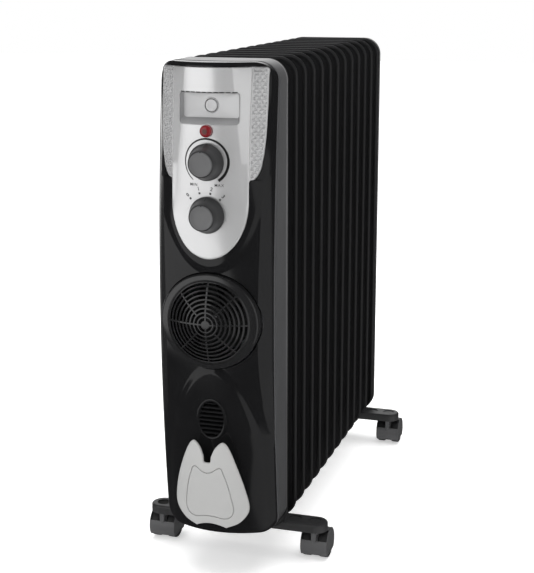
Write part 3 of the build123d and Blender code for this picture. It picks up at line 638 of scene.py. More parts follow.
def field_rise(x, z):
    """Raised tongue above and raised arch below, with flat bevels round them."""
    x = np.abs(x)
    tongue = np.where(z > TONGUE[2], TONGUE[0] - x, inside_ellipse(x, z, *TONGUE))
    arch = np.where(z < ARCH[2], ARCH[0] - x, inside_ellipse(x, z, *ARCH))
    tongue = np.clip(tongue / (9.0 - 2.5 * (x / 56.0) ** 2), 0, 1)
    arch = np.clip(arch / (8.5 - 3.0 * (x / 47.0) ** 2), 0, 1)
    fade = np.clip(1 - (x / strip_inner(z)) ** 2, 0, 1) ** 0.6
    return FIELD_RISE * np.maximum(tongue, arch) * fade


def cover_surface(x, z):
    return FIRST + base_surface(x, z) - field_rise(x, z)


def joint_depth(x, z):
    return FIRST + bow(np.minimum(np.abs(x), HALF), HALF, side_depth(z), JOINT_CROWN)


band_outline = rounded_rectangle(-HALF, HALF, HOUSING_LOW, TOP, HOUSING_LOW_RADIUS, TOP_RADIUS, 22, 7.0)
points = np.array(band_outline)
normals = outward_normals(band_outline)
loops = []
for inset, depth in ((0.0, 1.3), (0.1, 0.8), (0.4, 0.3), (0.9, 0.05), (1.5, 0.05), (2.0, 0.4), (2.2, 1.2), (2.2, None),
                     (1.6, None), (0.5, None), (0.0, None)):
    moved = points - normals * inset
    if depth is None:
        at = np.full(len(points), HOUSING_BACK - (0.6 if inset in (0.0, 2.2) else 0.0))
    else:
        at = joint_depth(points[:, 0], points[:, 1]) + depth
    loops.append(stacked(moved[:, 0], at, moved[:, 1]))
outer_front, outer_back = loops[0], loops[-1]
for k in range(1, 9):
    loops.append(outer_back + (outer_front - outer_back) * (k / 9))
mesh_piece("housing_band", *loft_loops(loops, close=True), "heater", "band_grey", BAND, ("housing_shell",), 45)


# ---- silver control panel ----
PANEL_TOP, PANEL_LOW, PANEL_TURN = 630.2, 409.0, 476.0
PANEL_HALF = 47.2
WING_TIP = 500.0


def panel_half(z):
    """Half width of the panel's body."""
    low = PANEL_HALF * np.sqrt(np.clip(1 - ((PANEL_TURN - z) / (PANEL_TURN - PANEL_LOW)) ** 2, 0.0004, 1))
    return np.where(z < PANEL_TURN, low, eased(z, (476, 523, 585, 628), (47.2, 47.2, 47.3, 47.8)))


def panel_crease(z):
    wide = panel_half(z)
    line = eased(z, (455, 470, 522, 585, 628), (46.2, 44.8, 39.1, 33.0, 29.6))
    return np.minimum(line, wide * 0.985 - 0.02)


def panel_edge(z):
    x = panel_half(z)
    deep = eased(z, (409, 418, 430, 441, 457, 474, 500, 523, 585, 628),
                 (-83.0, -81.8, -79.4, -77.0, -74.6, -73.2, -71.6, -70.4, -64.4, -58.0))
    return np.where(z < 520, np.minimum(deep, cover_surface(x, z) - FIRST - 1.1), deep)


def panel_surface(x, z):
    """Bowed middle between two facets."""
    x, z = np.abs(np.asarray(x, float)), np.asarray(z, float)
    half, crease, edge = panel_half(z), panel_crease(z), panel_edge(z)
    crown = eased(z, (409, 440, 475, 522, 585, 628), (-83.6, -83.0, -82.4, -81.4, -80.3, -78.6))
    bend = eased(z, (409, 440, 470, 522, 585, 628), (-83.1, -78.2, -75.0, -74.3, -73.8, -73.1))
    bend = np.where(z < 470, np.minimum(bend, edge - 0.3), bend)
    bend = np.maximum(bend, crown + 0.2)
    middle = bow(np.minimum(x, crease), crease, bend, crown)
    facet = bend + (edge - bend) * (x - crease) / np.maximum(half - crease, 0.01)
    return FIRST + np.where(x > crease, facet, middle)


turns = np.radians(np.arange(88, 0, -3.0))
rows = np.concatenate([PANEL_TURN - (PANEL_TURN - PANEL_LOW) * np.sin(turns),
                       np.arange(477, 627.5, 2.0), PANEL_TOP - np.array([2.0, 1.5, 1.0, 0.6, 0.3, 0.1, 0.0])])
middle = np.linspace(0, 1, 26)
facet = np.linspace(0, 1, 9)[1:]
edge_steps = np.array([1.5, 1.1, 0.75, 0.45, 0.2, 0.05, 0.0])
lines = []
for z in rows:
    half, crease = float(panel_half(z)), float(panel_crease(z))
    shrink = min(1.0, half / 6.0)
    inner = half - 1.7 * shrink
    crease = min(crease, inner - 0.02)
    lines.append(np.concatenate([middle * crease, crease + (inner - crease) * facet, half - edge_steps * shrink]))
x, z = mirrored(lines, rows)
inside = np.minimum(panel_half(z) - np.abs(x), PANEL_TOP - z)
low_gap = np.where(z < PANEL_TURN, PANEL_TURN - z, 0)
slope = np.hypot(1, low_gap * PANEL_HALF**2 / ((PANEL_TURN - PANEL_LOW) ** 2 * np.maximum(np.abs(x), 4)))
inside = np.where(z < PANEL_TURN, (panel_half(z) - np.abs(x)) / slope, inside)
front = stacked(x, panel_surface(x, z) + rounding(inside, 1.4), z)
back = stacked(x, panel_surface(x, z) + 5.0, z)
panel = mesh_piece("panel_face", *shell(front, back), "heater", "silver_panel", SILVER, ("control_panel",), 24)


def wing_outer(z):
    corner = 5.0 - np.sqrt(25.0 - np.clip(np.asarray(z, float) - PANEL_TOP + 5.0, 0, 5) ** 2)
    return eased(z, (500, 504, 510, 526, 548, 581, 628), (48.6, 53.5, 57.5, 61.2, 63.4, 64.6, 65.0)) - corner


def wing_edge(z):
    return eased(z, (500, 510, 526, 548, 581, 621, 628),
                 (-69.8, -64.2, -61.4, -58.0, -53.4, -48.6, -47.6))


def wing_surface(x, z):
    inner, outer = panel_half(z), wing_outer(z)
    start = panel_edge(z) + 0.9
    t = np.clip((np.abs(x) - inner) / np.maximum(outer - inner, 0.5), 0, 1)
    return FIRST + start + (wing_edge(z) - start) * t


DIMPLE_ROW, DIMPLE_PITCH, DIMPLE_DEPTH = 4.0, 5.8, 2.9


def dimple(x, z):
    """Staggered rows of three-sided dimples."""
    row = np.floor(z / DIMPLE_ROW)
    u = (x / DIMPLE_PITCH + 0.5 * (row % 2)) % 1.0 - 0.5
    v = (z / DIMPLE_ROW) % 1.0 - 0.5
    reach = np.maximum(-v, np.abs(u) * 1.2 + v * 0.5) / 0.44
    return DIMPLE_DEPTH * np.clip(1 - reach, 0, 0.6)


for hand, side in (("left", -1), ("right", 1)):
    rows = np.concatenate([WING_TIP + np.array([0.2, 0.7, 1.3]), np.arange(502, 627.2, 0.55),
                           PANEL_TOP - np.array([2.6, 2.1, 1.6, 1.1, 0.7, 0.4, 0.2, 0.05, 0.0])])
    steps = np.concatenate([np.linspace(0, 0.94, 36), [0.955, 0.97, 0.985, 0.995, 1.0]])
    inner, outer = panel_half(rows) - 1.2, wing_outer(rows)
    x = inner[:, None] + (outer - inner)[:, None] * steps[None, :]
    z = np.repeat(rows[:, None], x.shape[1], axis=1)
    inside = np.minimum(outer[:, None] - x, PANEL_TOP - z)
    field = smoothstep(1.6, 2.6, inside) * smoothstep(1.0, 2.0, x - panel_half(z))
    base = wing_surface(x, z)
    y = base + rounding(inside, 0.9) + dimple(x, z) * field
    x = x * side
    verts, faces = shell(stacked(x, y, z), stacked(x, base + 4, z))
    mesh_piece(f"panel_wing_{hand}", verts, faces, "heater", "silver_panel", SILVER_TEXTURE_AND_RECESS_SHADE, ("control_panel",), 24)

# front moulding, with a seat under the panel
rows = np.concatenate([
    COVER_OUTLINE[1] + np.array([0.0, 0.15, 0.5, 1.0, 1.8, 2.8]), np.arange(64, 630, 1.5),
    PANEL_TOP + np.array([0.25, 0.3]),
    COVER_OUTLINE[2] - np.array([4.0, 3.0, 2.1, 1.4, 0.8, 0.4, 0.1, 0.0])])
lines = []
for z in rows:
    half = float(outline_half(z, *COVER_OUTLINE))
    inner = min(float(strip_inner(z)), half - 2.0)
    if WING_TIP + 2 < z < PANEL_TOP + 1:
        inner = float(wing_outer(z)) + 0.3
    outside = inner + (half - 1.6 - inner) * np.array([0.01, 0.34, 0.67, 1.0])
    lines.append(np.concatenate([np.linspace(0, inner, 46), outside,
                                 half - np.array([1.2, 0.85, 0.5, 0.25, 0.08, 0.0])]))
x, z = mirrored(lines, rows)
edge_radius = 3.0 + 2.0 * smoothstep(590.0, 622.0, z)  # rounder towards the top
surface = cover_surface(x, z)
seat = (z > PANEL_LOW + 3) & (z < PANEL_TOP + 0.28) & (np.abs(x) < np.where(
    z > WING_TIP + 2, wing_outer(z) + 0.32, panel_half(z) - 2.5))
surface = np.where(seat, np.maximum(surface, np.where(np.abs(x) < panel_half(z), panel_surface(x, z),
                                                      wing_surface(x, z)) + 2.5), surface)
y = surface + rounding(outline_inside(x, z, *COVER_OUTLINE), edge_radius)
back = surface + 2.4
for edge in (np.s_[0, :], np.s_[-1, :], np.s_[:, 0], np.s_[:, -1]):
    back[edge] = np.maximum(joint_depth(x[edge], z[edge]) + 4.0, y[edge] + 3.0)
cover = mesh_piece("front_moulding", *shell(stacked(x, y, z), stacked(x, back, z)),
                   "heater", "gloss_black", GLOSS, ("front_cover",), 30)
GRILLE_RADIUS, GRILLE_HEIGHT = 61.4, 58.6
SHAFT_HOLE = 5.0
drill(cover, ellipse(GRILLE_RADIUS + 1.0, GRILLE_HEIGHT + 1.0, GRILLE_Z, 160))
drill(cover, ellipse(18.6, 25.6, VENT_Z, 72))
for height in (THERMOSTAT_Z, SELECTOR_Z):
    for piece in (cover, panel):
        cut(piece, *turned([(SHAFT_HOLE, depth) for depth in CUT_DEPTHS], (0, 0, height), 40))
WINDOW = (-36.0, 36.0, 566.0, 601.0)
FLOOR = FIRST - 64.5
hole = rounded_rectangle(WINDOW[0] - 4, WINDOW[1] + 4, WINDOW[2] - 4, WINDOW[3] + 4, 5, 5, 8, 4)
drill(cover, hole)
LIP = 1.25
hole = rounded_rectangle(WINDOW[0] - LIP, WINDOW[1] + LIP, WINDOW[2] - LIP, WINDOW[3] + LIP, 5.0, 4.0, 10, 2.0)
drill(panel, hole)
shade(panel, 24)
shade(cover, 30)
panel.data.materials[0], cover.data.materials[0] = SILVER, GLOSS

# tray of the window, with a soft lip and a sloping lower wall
opening = rounded_rectangle(*WINDOW, 3.8, 2.8, 10, 2.0)
points, normals = np.array(opening), outward_normals(opening)
FLOOR_LOW, FLOOR_HALF, FLOOR_TALL = 572.0, 33.5, 28.0
window_tall = WINDOW[3] - WINDOW[2]
floor_points = np.array([(px * FLOOR_HALF / WINDOW[1], FLOOR_LOW + (pz - WINDOW[2]) * FLOOR_TALL / window_tall)
                         for px, pz in opening])
loops = []
for out, depth in ((LIP, 2.2), (LIP, 0.03), (0.8, 0.06), (0.35, 0.32), (0.06, 0.85), (0.0, 1.7)):
    moved = points + normals * out
    loops.append(stacked(moved[:, 0], panel_surface(moved[:, 0], moved[:, 1]) + depth, moved[:, 1]))
top = loops[-1]
for t in (0.3, 0.6, 0.9):
    flat = points + (floor_points - points) * t
    loops.append(stacked(flat[:, 0], top[:, 1] + (FLOOR - top[:, 1]) * t, flat[:, 1]))
centre = np.array([0.0, BUTTON_Z])
loops.append(stacked(floor_points[:, 0], np.full(len(points), FLOOR - 0.25), floor_points[:, 1]))
inner = floor_points - (floor_points - centre) * 0.035
loops.append(stacked(inner[:, 0], np.full(len(points), FLOOR), inner[:, 1]))
angles = np.arctan2(inner[:, 1] - BUTTON_Z, inner[:, 0])
for radius, depth in ((9.4, 0.0), (9.1, -0.5), (8.4, -0.7), (7.9, -0.4), (7.8, 0.6), (7.8, 1.6)):
    loops.append(stacked(radius * np.cos(angles), np.full(len(points), FLOOR + depth),
                           BUTTON_Z + radius * np.sin(angles)))
outer = floor_points + outward_normals(opening) * 1.3
back = stacked(outer[:, 0], np.full(len(points), FLOOR + 1.6), outer[:, 1])
walls, tray = loops[:10] + [back], loops[9:] + [stacked(floor_points[:, 0], back[:, 1], floor_points[:, 1])]
# The recess walls take the darker silver copy, painted shade of the recess.
mesh_piece("window_walls", *loft_loops(walls, close=True), "heater", "silver_panel", SHADED, ("control_panel",), 30)
# The window floor takes the darker silver as painted shade of the recess.
mesh_piece("window_floor", *loft_loops(tray, close=True), "heater", "silver_panel", SILVER_TEXTURE_AND_RECESS_SHADE, ("control_panel",), 30)
# Near-black bars under the top edge of the window: painted shade of the slits there.
slits = joined(*[bar((px - 2.8, 602.0), (px + 2.8, 602.0), 1.4, lambda a, b: panel_surface(a, b) - 0.12, 0.9, 4)
                 for px in np.linspace(-31.5, 31.5, 10)])
mesh_piece("window_slits", *slits, "heater", "silver_panel", DARK, (), 30)
BUTTON_FACE = node_box("fan_button")[0][1]
button = from_depth(BUTTON_FACE, [(0.4, 0.35), (3.5, 0.2), (5.8, 0.0), (6.7, 0.12), (7.2, 0.6), (7.3, 1.2),
                                  (7.3, 4.0)])
# The button takes the darker silver as painted shade of the recess.
mesh_piece("push_button", *turned(button, (0, 0, BUTTON_Z), 64), "button", "silver_panel", SILVER_TEXTURE_AND_RECESS_SHADE,
           ("fan_button",), 30)


# ---- dial marks, laid on the panel ----
PRINT_PROUD, PRINT_SUNK = 0.12, 0.4
SCALE_RADIUS = 27.4
SELECTOR_MARKS_X, DIGIT_RADIUS = -3.0, 31.0


def ring_mark(name, centre_x, centre_z, inner_of, outer_of, start, end, count=90):
    """Printed arc between two radii that may change along it; angles clockwise from the top."""
    angles = np.radians(np.linspace(start, end, count))
    t = np.linspace(0, 1, count)
    radii = np.stack([inner_of(t), (inner_of(t) + outer_of(t)) / 2, outer_of(t)], axis=1)
    x = centre_x + radii * np.sin(angles)[:, None]
    z = centre_z + radii * np.cos(angles)[:, None]
    y = panel_surface(x, z)
    verts, faces = shell(stacked(x, y - PRINT_PROUD, z), stacked(x, y + PRINT_SUNK, z))
    return mesh_piece(name, verts, faces, "heater", "silver_panel", PRINT)


def lettering(name, text, x, z, size, turn=0.0, bold=0.12):
    """Short dial text standing a hair proud of the panel, turned clockwise."""
    curve = bpy.data.curves.new("lettering", "FONT")
    curve.body, curve.size, curve.extrude, curve.offset, curve.space_character = text, size, 0.5, bold, 1.2
    curve.align_x, curve.align_y, curve.resolution_u = "CENTER", "CENTER", 3
    holder = bpy.data.objects.new("lettering", curve)
    bpy.context.scene.collection.objects.link(holder)
    bpy.context.view_layer.update()
    flat = bpy.data.meshes.new_from_object(holder.evaluated_get(bpy.context.evaluated_depsgraph_get()))
    verts = []
    for v in flat.vertices:
        px = x + v.co.x * cos(turn) + v.co.y * sin(turn)
        pz = z - v.co.x * sin(turn) + v.co.y * cos(turn)
        verts.append((px, float(panel_surface(px, pz)) + (-PRINT_PROUD if v.co.z > 0 else PRINT_SUNK), pz))
    faces = [tuple(p.vertices) for p in flat.polygons]
    bpy.data.objects.remove(holder)
    bpy.data.curves.remove(curve)
    bpy.data.meshes.remove(flat)
    mesh_piece(name, verts, faces, "heater", "silver_panel", PRINT)


ring_mark("thermostat_scale", -1.0, THERMOSTAT_Z, lambda t: SCALE_RADIUS - (0.9 + 2.5 * t),
          lambda t: SCALE_RADIUS + 0 * t, -142, 146)
lettering("mark_min", "MIN", -17.0, THERMOSTAT_Z - 26.8, 4.7, 0.0, 0.04)
lettering("mark_max", "MAX", 14.2, THERMOSTAT_Z - 26.8, 4.7, 0.0, 0.04)
for text, angle in (("0", -45), ("1", -15), ("2", 15), ("3", 45)):
    a = radians(angle)
    ring_mark(f"selector_tick_{text}", SELECTOR_MARKS_X, SELECTOR_Z, lambda t: 24.6 + 0 * t,
              lambda t: 26.9 + 0 * t, angle - 2.6, angle + 2.6, 8)
    lettering(f"selector_digit_{text}", text, SELECTOR_MARKS_X + DIGIT_RADIUS * sin(a),
              SELECTOR_Z + DIGIT_RADIUS * cos(a), 6.0, a)


# ---- knobs ----
def knob_pieces(name, node, body, height):
    back, front = KNOB_BACK, KNOB_FRONT
    profile = from_depth(back, [(3.4, 0.0), (21.1, 0.0), (21.5, -0.3), (21.5, -1.1), (21.2, -1.6), (20.6, -1.7),
                                (20.3, -2.3), (19.7, -3.0)])
    profile += from_depth(front, [(17.6, 7.5), (15.9, 2.6), (15.5, 1.4), (14.8, 0.55), (14.4, 0.35), (14.2, 0.6),
                                  (14.1, 1.3), (0.4, 1.6)])
    # The grip takes the darker copy as painted shade, the cap the lighter copy as painted light.
    mesh_piece(f"{name}_grip", *turned(profile, (0, 0, height), 96), body, "knob_grey", KNOB, (node,), 32)
    disc = from_depth(front, [(14.0, 2.0), (14.0, 0.45), (13.7, 0.15), (13.1, 0.15), (12.2, 0.5), (8.0, 0.9),
                              (0.4, 1.1)])
    mesh_piece(f"{name}_cap", *turned(disc, (0, 0, height), 96), body, "knob_grey", KNOB_PAINTED_LIGHT, (node,), 32)

    def flank(px, pz):
        reach = hypot(px, pz - height)
        return front + 0.12 + max(0.0, reach - 14.2) * 1.9

    notch = bar((0, height + 13.2), (0, height + 16.0), 1.7, flank, 1.2, 6)
    mesh_piece(f"{name}_notch", *notch, body, "knob_grey", PRINT, (), 30)

    def ridge(px, pz):
        return front + 1.6 + (pz - height - 15.4) * (back - front - 5.0) / 5.2

    rib = bar((0, height + 16.2), (0, height + 21.3), 2.4, ridge, 3.0, 8)
    mesh_piece(f"{name}_pointer", *rib, body, "knob_grey", KNOB, (node,), 30)
    mark = bar((0, height + 18.4), (0, height + 21.1), 1.4, lambda px, pz: ridge(px, pz) - 0.15, 0.8, 6)
    mesh_piece(f"{name}_mark", *mark, body, "knob_grey", PRINT, (), 30)


knob_pieces("thermostat", "thermostat_knob", "thermostat", THERMOSTAT_Z)
knob_pieces("selector", "selector_knob", "selector", SELECTOR_Z)

# ---- indicator lamp ----
LENS_FRONT = node_box("indicator_lens")[0][1]
lens = from_depth(LENS_FRONT, [(0.3, 0.0), (2.6, 0.12), (4.6, 0.4), (5.9, 0.9), (6.7, 1.7), (7.0, 2.6),
                               (LENS_RADIUS, 4.0), (LENS_RADIUS, 15.0)])
mesh_piece("lamp_lens", *turned(lens, (0, 0, LAMP_Z), 64), "heater", "red_lens", LENS, ("indicator_lens",), 30)
seat_y = float(panel_surface(0, LAMP_Z))
rim = from_depth(seat_y, [(7.15, 1.5), (7.15, -0.3), (7.35, -0.5), (7.7, -0.5), (8.0, -0.1), (8.1, 1.5)])
mesh_piece("lamp_rim", *revolved(rim, (0, 0, LAMP_Z), 64, close=True), "heater", "silver_panel", SILVER, (), 30)

# ---- fan grille ----
HUB = FIRST - 96.0
DOME_RISE = 20.0
SPHERE = (GRILLE_RADIUS**2 + DOME_RISE**2) / (2 * DOME_RISE)


def dome(radius):
    return HUB + SPHERE - np.sqrt(SPHERE**2 - np.asarray(radius, float) ** 2)


def rounded_ring(inner, outer, thick, ease=0.45):
    return [(inner, dome(inner) + thick), (inner, dome(inner) + ease), (inner + 0.14 * ease, dome(inner) + 0.5 * ease),
            (inner + 0.5 * ease, dome(inner) + 0.14 * ease), (inner + ease, dome(inner)),
            (outer - ease, dome(outer)), (outer - 0.5 * ease, dome(outer) + 0.14 * ease),
            (outer - 0.14 * ease, dome(outer) + 0.5 * ease), (outer, dome(outer) + ease), (outer, dome(outer) + thick)]


bars = [revolved(rounded_ring(8.4 + 5 * k, 10.6 + 5 * k, 2.4), (0, 0, GRILLE_Z), 128, close=True) for k in range(8)]
hub = [(0.3, HUB), (3.0, float(dome(3.0))), (5.0, float(dome(5.0)) + 0.02), (5.6, float(dome(5.6)) + 0.5),
       (5.6, HUB + 2.6)]
bars.append(turned(hub, (0, 0, GRILLE_Z), 64))
for k in range(8):
    a = pi / 4 * k
    start, end = (5.0 if k % 2 == 0 else 15.5), 49.5
    bars.append(bar((start * cos(a), GRILLE_Z + start * sin(a)), (end * cos(a), GRILLE_Z + end * sin(a)), 2.2,
                    lambda px, pz: dome(hypot(px, pz - GRILLE_Z)), 2.3, 24))
mesh_piece("grille_bars", *joined(*bars), "heater", "gloss_black", GRILLE, ("fan_grille",), 32)
ring = [(48.2, dome(48.2) + 2.6), (48.2, dome(48.2) + 0.5), (48.6, dome(48.6) + 0.1), (49.2, dome(49.2)),
        (50.6, dome(50.6)), (51.2, dome(51.2) + 0.25), (51.6, dome(51.6) + 0.1)]
ring += from_depth(FIRST, [(52.1, -83.05), (55.6, -82.5), (58.6, -82.0), (59.6, -81.6), (60.4, -80.8), (60.9, -79.6),
                           (GRILLE_RADIUS, -76.0), (GRILLE_RADIUS, -66.0), (59.6, -66.0), (54.0, -76.0)])
verts, faces = revolved(ring, (0, 0, GRILLE_Z), 160, close=True)
squash = 1 - GRILLE_HEIGHT / GRILLE_RADIUS
verts = [(px, py, GRILLE_Z + (pz - GRILLE_Z) * (1 - squash * min(1, max(0, (hypot(px, pz - GRILLE_Z) - 50) / 10))))
         for px, py, pz in verts]
mesh_piece("grille_rim", verts, faces, "heater", "gloss_black", GRILLE, ("fan_grille",), 26)

# ---- vent ----
VENT_FRONT = node_box("vent_louvre")[0][1]
SLAT_PITCH = 5.3
loops = []
for a_half, b_half, depth in ((19.2, 26.2, 7.0), (19.2, 26.2, 0.6), (18.9, 25.9, 0.15), (18.4, 25.4, 0.0),
                              (16.4, 23.4, 0.0), (15.7, 22.7, 0.25), (15.4, 22.4, 0.9), (15.4, 22.4, 7.0)):
    loops.append([(px, VENT_FRONT + depth, pz) for px, pz in ellipse(a_half, b_half, VENT_Z, 96)])
slats = [loft_loops(loops, close=True)]
for k in range(-4, 5):
    reach = 15.4 * sqrt(max(0.04, 1 - (SLAT_PITCH * k / 22.4) ** 2)) + 1.0
    z = VENT_Z - 1.2 + SLAT_PITCH * k
    half = 1.2 if abs(k) < 4 else 0.7
    section = [(0.9, z - half), (0.55, z - half + 0.4), (0.55, z + half - 0.5), (0.9, z + half), (5.5, z + half + 1.6),
               (5.5, z - half + 1.6)]
    slats.append(loft_loops([[(px, VENT_FRONT + d, pz) for d, pz in section] for px in (-reach, reach)]))
mesh_piece("vent", *joined(*slats), "heater", "gloss_black", GLOSS, ("vent_louvre",), 30)
# Near-black sheet behind the slats: painted shade inside the vent.
vent_shade_outline = ellipse(14.6, 21.6, VENT_Z, 48)
mesh_piece("vent_shade_sheet", *loft_loops([[(px, VENT_FRONT + d, pz) for px, pz in vent_shade_outline] for d in (6.4, 6.9)]),
           "heater", "gloss_black", DARK, (), 30)

# ---- cord plate ----
PLATE_FRONT = node_box("cord_wrap_plate")[0][1]
PLAN_RADIUS, PROFILE_RADIUS = 88.0, 341.0
POST_Z = 125.0


def plate_surface(x, z):
    x, z = np.asarray(x, float), np.asarray(z, float)
    plan = PLAN_RADIUS - np.sqrt(PLAN_RADIUS**2 - x**2)
    reach = PROFILE_RADIUS - plan
    fall = np.maximum(np.hypot(x / 30.0, (z - 122.0) / 34.0) - 1.0, 0.0)
    return PLATE_FRONT + PROFILE_RADIUS - np.sqrt(reach**2 - (z - 160.0) ** 2) + 2.6 * fall


def flowing(points, per_span=8, closed=False):
    """Smooth line through points."""
    pts = np.array(points, float)
    if closed:
        pts = np.concatenate([pts[-1:], pts, pts[:2]])
    else:
        pts = np.concatenate([2 * pts[:1] - pts[1:2], pts, 2 * pts[-1:] - pts[-2:-1]])
    line = []
    for a, b, c, d in zip(pts, pts[1:], pts[2:], pts[3:]):
        for t in np.arange(per_span) / per_span:
            line.append(0.5 * (2 * b + (c - a) * t + (2 * a - 5 * b + 4 * c - d) * t**2
                               + (3 * b - a - 3 * c + d) * t**3))
    if not closed:
        line.append(pts[-2])
    return [tuple(p) for p in line]


right_side = flowing([(19, 74), (36, 82), (46.5, 99), (43, 128), (35, 156), (26, 179), (18.5, 187), (10.2, 181),
                      (5.0, 170)])
slot_end = [(4.7, 166.0), (4.5, 163.2), (3.2, 162.0), (0, 161.7), (-3.2, 162.0), (-4.5, 163.2), (-4.7, 166.0)]
left_side = [(-px, pz) for px, pz in reversed(right_side)]
bow_cut = [(px, 80.0 - 6.0 * (px / 19.0) ** 2) for px in np.linspace(-19, 19, 14)[1:-1]]
plate_loop = right_side + slot_end + left_side + bow_cut
inner_right = flowing([(0.0, 91.5), (8.0, 90.6), (16.5, 88.4), (22.5, 88.8), (27.5, 92.5), (30.2, 100), (29.6, 110),
                       (27.0, 125), (23.5, 140), (20.5, 148.5), (18.6, 154.0), (16.0, 156.4), (12.0, 155.2),
                       (6.0, 150.8), (0.0, 149.2)], 6)
inner_loop = inner_right + [(-px, pz) for px, pz in reversed(inner_right[1:-1])]
cord_plate = mesh_piece("cord_plate", *moulded_plate(plate_loop, plate_surface, 3.0, 1.4), "heater", "pale_grey",
                        PALE, ("cord_wrap_plate",), 28)
groove = [(-0.8, -1.0), (0.8, -1.0), (0.6, 0.4), (0.2, 1.2), (-0.2, 1.2), (-0.6, 0.4)]
cut(cord_plate, *swept(inner_loop, groove, plate_surface))
shade(cord_plate, 28)
post = ellipse(22.0, 18.0, POST_Z, 64)
loops = []
for scale, depth in ((0.9, 2.4), (1.0, 2.4), (1.0, 14.0), (1.04, 20.0), (0.9, 20.0)):
    loops.append([(px * scale, float(plate_surface(px, pz)) + depth, POST_Z + (pz - POST_Z) * scale)
                  for px, pz in post])
mesh_piece("cord_plate_post", *loft_loops(loops), "heater", "pale_grey", PALE, ("cord_wrap_plate",), 30)

# ---- castors ----
HOOD_RISE, HOOD_BOTTOM = 0.6, 6.8
CORNERS = [(row, hand) for row in ("front", "rear") for hand in ("left", "right")]


def arc_wall(centre_y, centre_z, outer, inner, start, end, x0, x1, count=30):
    """Closed curved wall about an axis along X; angles in degrees up from the front."""
    loops = []
    ease = 0.35
    for x, radius in ((x0, inner), (x0, outer - ease), (x0 + ease, outer), (x1 - ease, outer), (x1, outer - ease),
                      (x1, inner)):
        loops.append([(x, centre_y - radius * cos(radians(a)), centre_z + radius * sin(radians(a)))
                      for a in np.linspace(start, end, count)])
    return loft_loops([list(section) for section in zip(*loops)])


def castor_pieces(row, hand):
    name = f"castor_{row}_{hand}"
    low, high = node_box(f"{name}_hood")
    x0, x1 = low[0], high[0]
    middle_x = (x0 + x1) / 2
    stem = node_middle(f"{name}_stem")
    wheel_low, wheel_high = node_box(f"{name}_wheel_outer")
    axle_y, wheel_z = (wheel_low[1] + wheel_high[1]) / 2, (wheel_low[2] + wheel_high[2]) / 2
    radius = (high[1] - low[1]) / 2
    hood_z = wheel_z + HOOD_RISE
    cut_angle = degrees(asin((HOOD_BOTTOM - hood_z) / radius))
    parts = [arc_wall(axle_y, hood_z, radius, radius - 1.1, cut_angle, 24, x0, x1),
             arc_wall(axle_y, hood_z, radius, radius - 1.1, 74, 180 - cut_angle, x0, x1, 50)]
    for x, side in ((x0, -1), (x1, 1)):
        sections = []
        for inset, deep in ((2.7, 0.3), (2.3, 0.0), (0.4, 0.0), (0.0, 0.35), (0.0, 0.65)):
            r = radius - inset
            low_angle = degrees(asin((HOOD_BOTTOM + inset - hood_z) / r))
            sections.append([(x - side * deep, axle_y - r * cos(radians(a)), hood_z + r * sin(radians(a)))
                             for a in np.linspace(low_angle, 180 - low_angle, 64)])
        parts.append(loft_loops(sections))
    web = []
    for x, inset in ((-4.6, 0.5), (-4.2, 0.0), (4.2, 0.0), (4.6, 0.5)):
        r = radius - 1.6 - inset
        web.append([(middle_x + x, axle_y - r * cos(radians(a)), max(7.0, hood_z + r * sin(radians(a))))
                    for a in np.arange(0, 360, 6)])
    parts.append(loft_loops(web))
    top = high[2]
    neck = [(4.0, hood_z), (4.3, top - 6.0), (4.7, top - 3.0), (5.6, top - 1.2), (5.8, top - 0.05)]
    parts.append(turned(neck, (middle_x, stem[1], 0), 40, "z"))
    nose = axle_y - radius + 0.2
    sections = []
    for z, half_width, deep in ((top - 0.4, 3.4, 4.4), (top - 4.0, 3.3, 5.0), (hood_z + 12.0, 3.2, 5.5),
                                (hood_z + 9.0, 3.0, 5.5), (hood_z + 7.0, 1.9, 4.0), (hood_z + 5.6, 0.7, 2.5)):
        sections.append([(middle_x - half_width, nose + 0.7, z), (middle_x - half_width + 0.6, nose, z),
                         (middle_x + half_width - 0.6, nose, z), (middle_x + half_width, nose + 0.7, z),
                         (middle_x + half_width, nose + deep, z), (middle_x - half_width, nose + deep, z)])
    parts.append(loft_loops(sections))
    mesh_piece(f"{name}_shroud", *joined(*parts), name, "castor_nylon", NYLON, (f"{name}_hood",), 32)
    for place in ("inner", "outer"):
        node = f"{name}_wheel_{place}"
        low, high = node_box(node)
        side = 1 if (low[0] + high[0]) / 2 > middle_x else -1
        near, far = (low[0], high[0]) if side > 0 else (high[0], low[0])
        r = (high[2] - low[2]) / 2
        profile = [(3.2, near), (r - 1.6, near), (r - 0.5, near + side * 0.4), (r, near + side * 1.5),
                   (r, (near + far) / 2), (r, far - side * 1.6), (r - 0.4, far - side * 0.6),
                   (r - 1.2, far - side * 0.1), (r - 2.0, far), (r - 2.8, far - side * 0.5),
                   (r - 3.6, far - side * 1.1), (8.0, far - side * 1.5), (6.8, far - side * 1.2),
                   (6.2, far - side * 0.4), (5.4, far - side * 0.2), (0.4, far - side * 0.2)]
        tread = turned(profile, (0, axle_y, wheel_z), 72, "x")
        mesh_piece(f"{node}_tread", *tread, node, "castor_wheel", TREAD, (node,), 32)


for row, hand in CORNERS:
    castor_pieces(row, hand)

# matt caps in the round recesses of the foot bars; the left ones are near-black, painted shade of their recesses
for row in ("front", "rear"):
    low, high = node_box(f"{row}_foot_bar")
    bar_y = (low[1] + high[1]) / 2
    deck = node_box(f"castor_{row}_left_stem")[1][2] + 3.5
    for hand, x in (("left", -104.0), ("right", 104.0)):
        cap = from_depth(deck, [(8.3, -1.6), (8.3, -0.95), (8.1, -0.8), (7.6, -0.75), (0.4, -1.0)])
        mesh_piece(f"{row}_foot_cap_{hand}", *turned(cap, (x, bar_y, 0), 56, "z"), "heater", "dark_plastic",
                   DARK if hand == "left" else FOOT, (), 30)

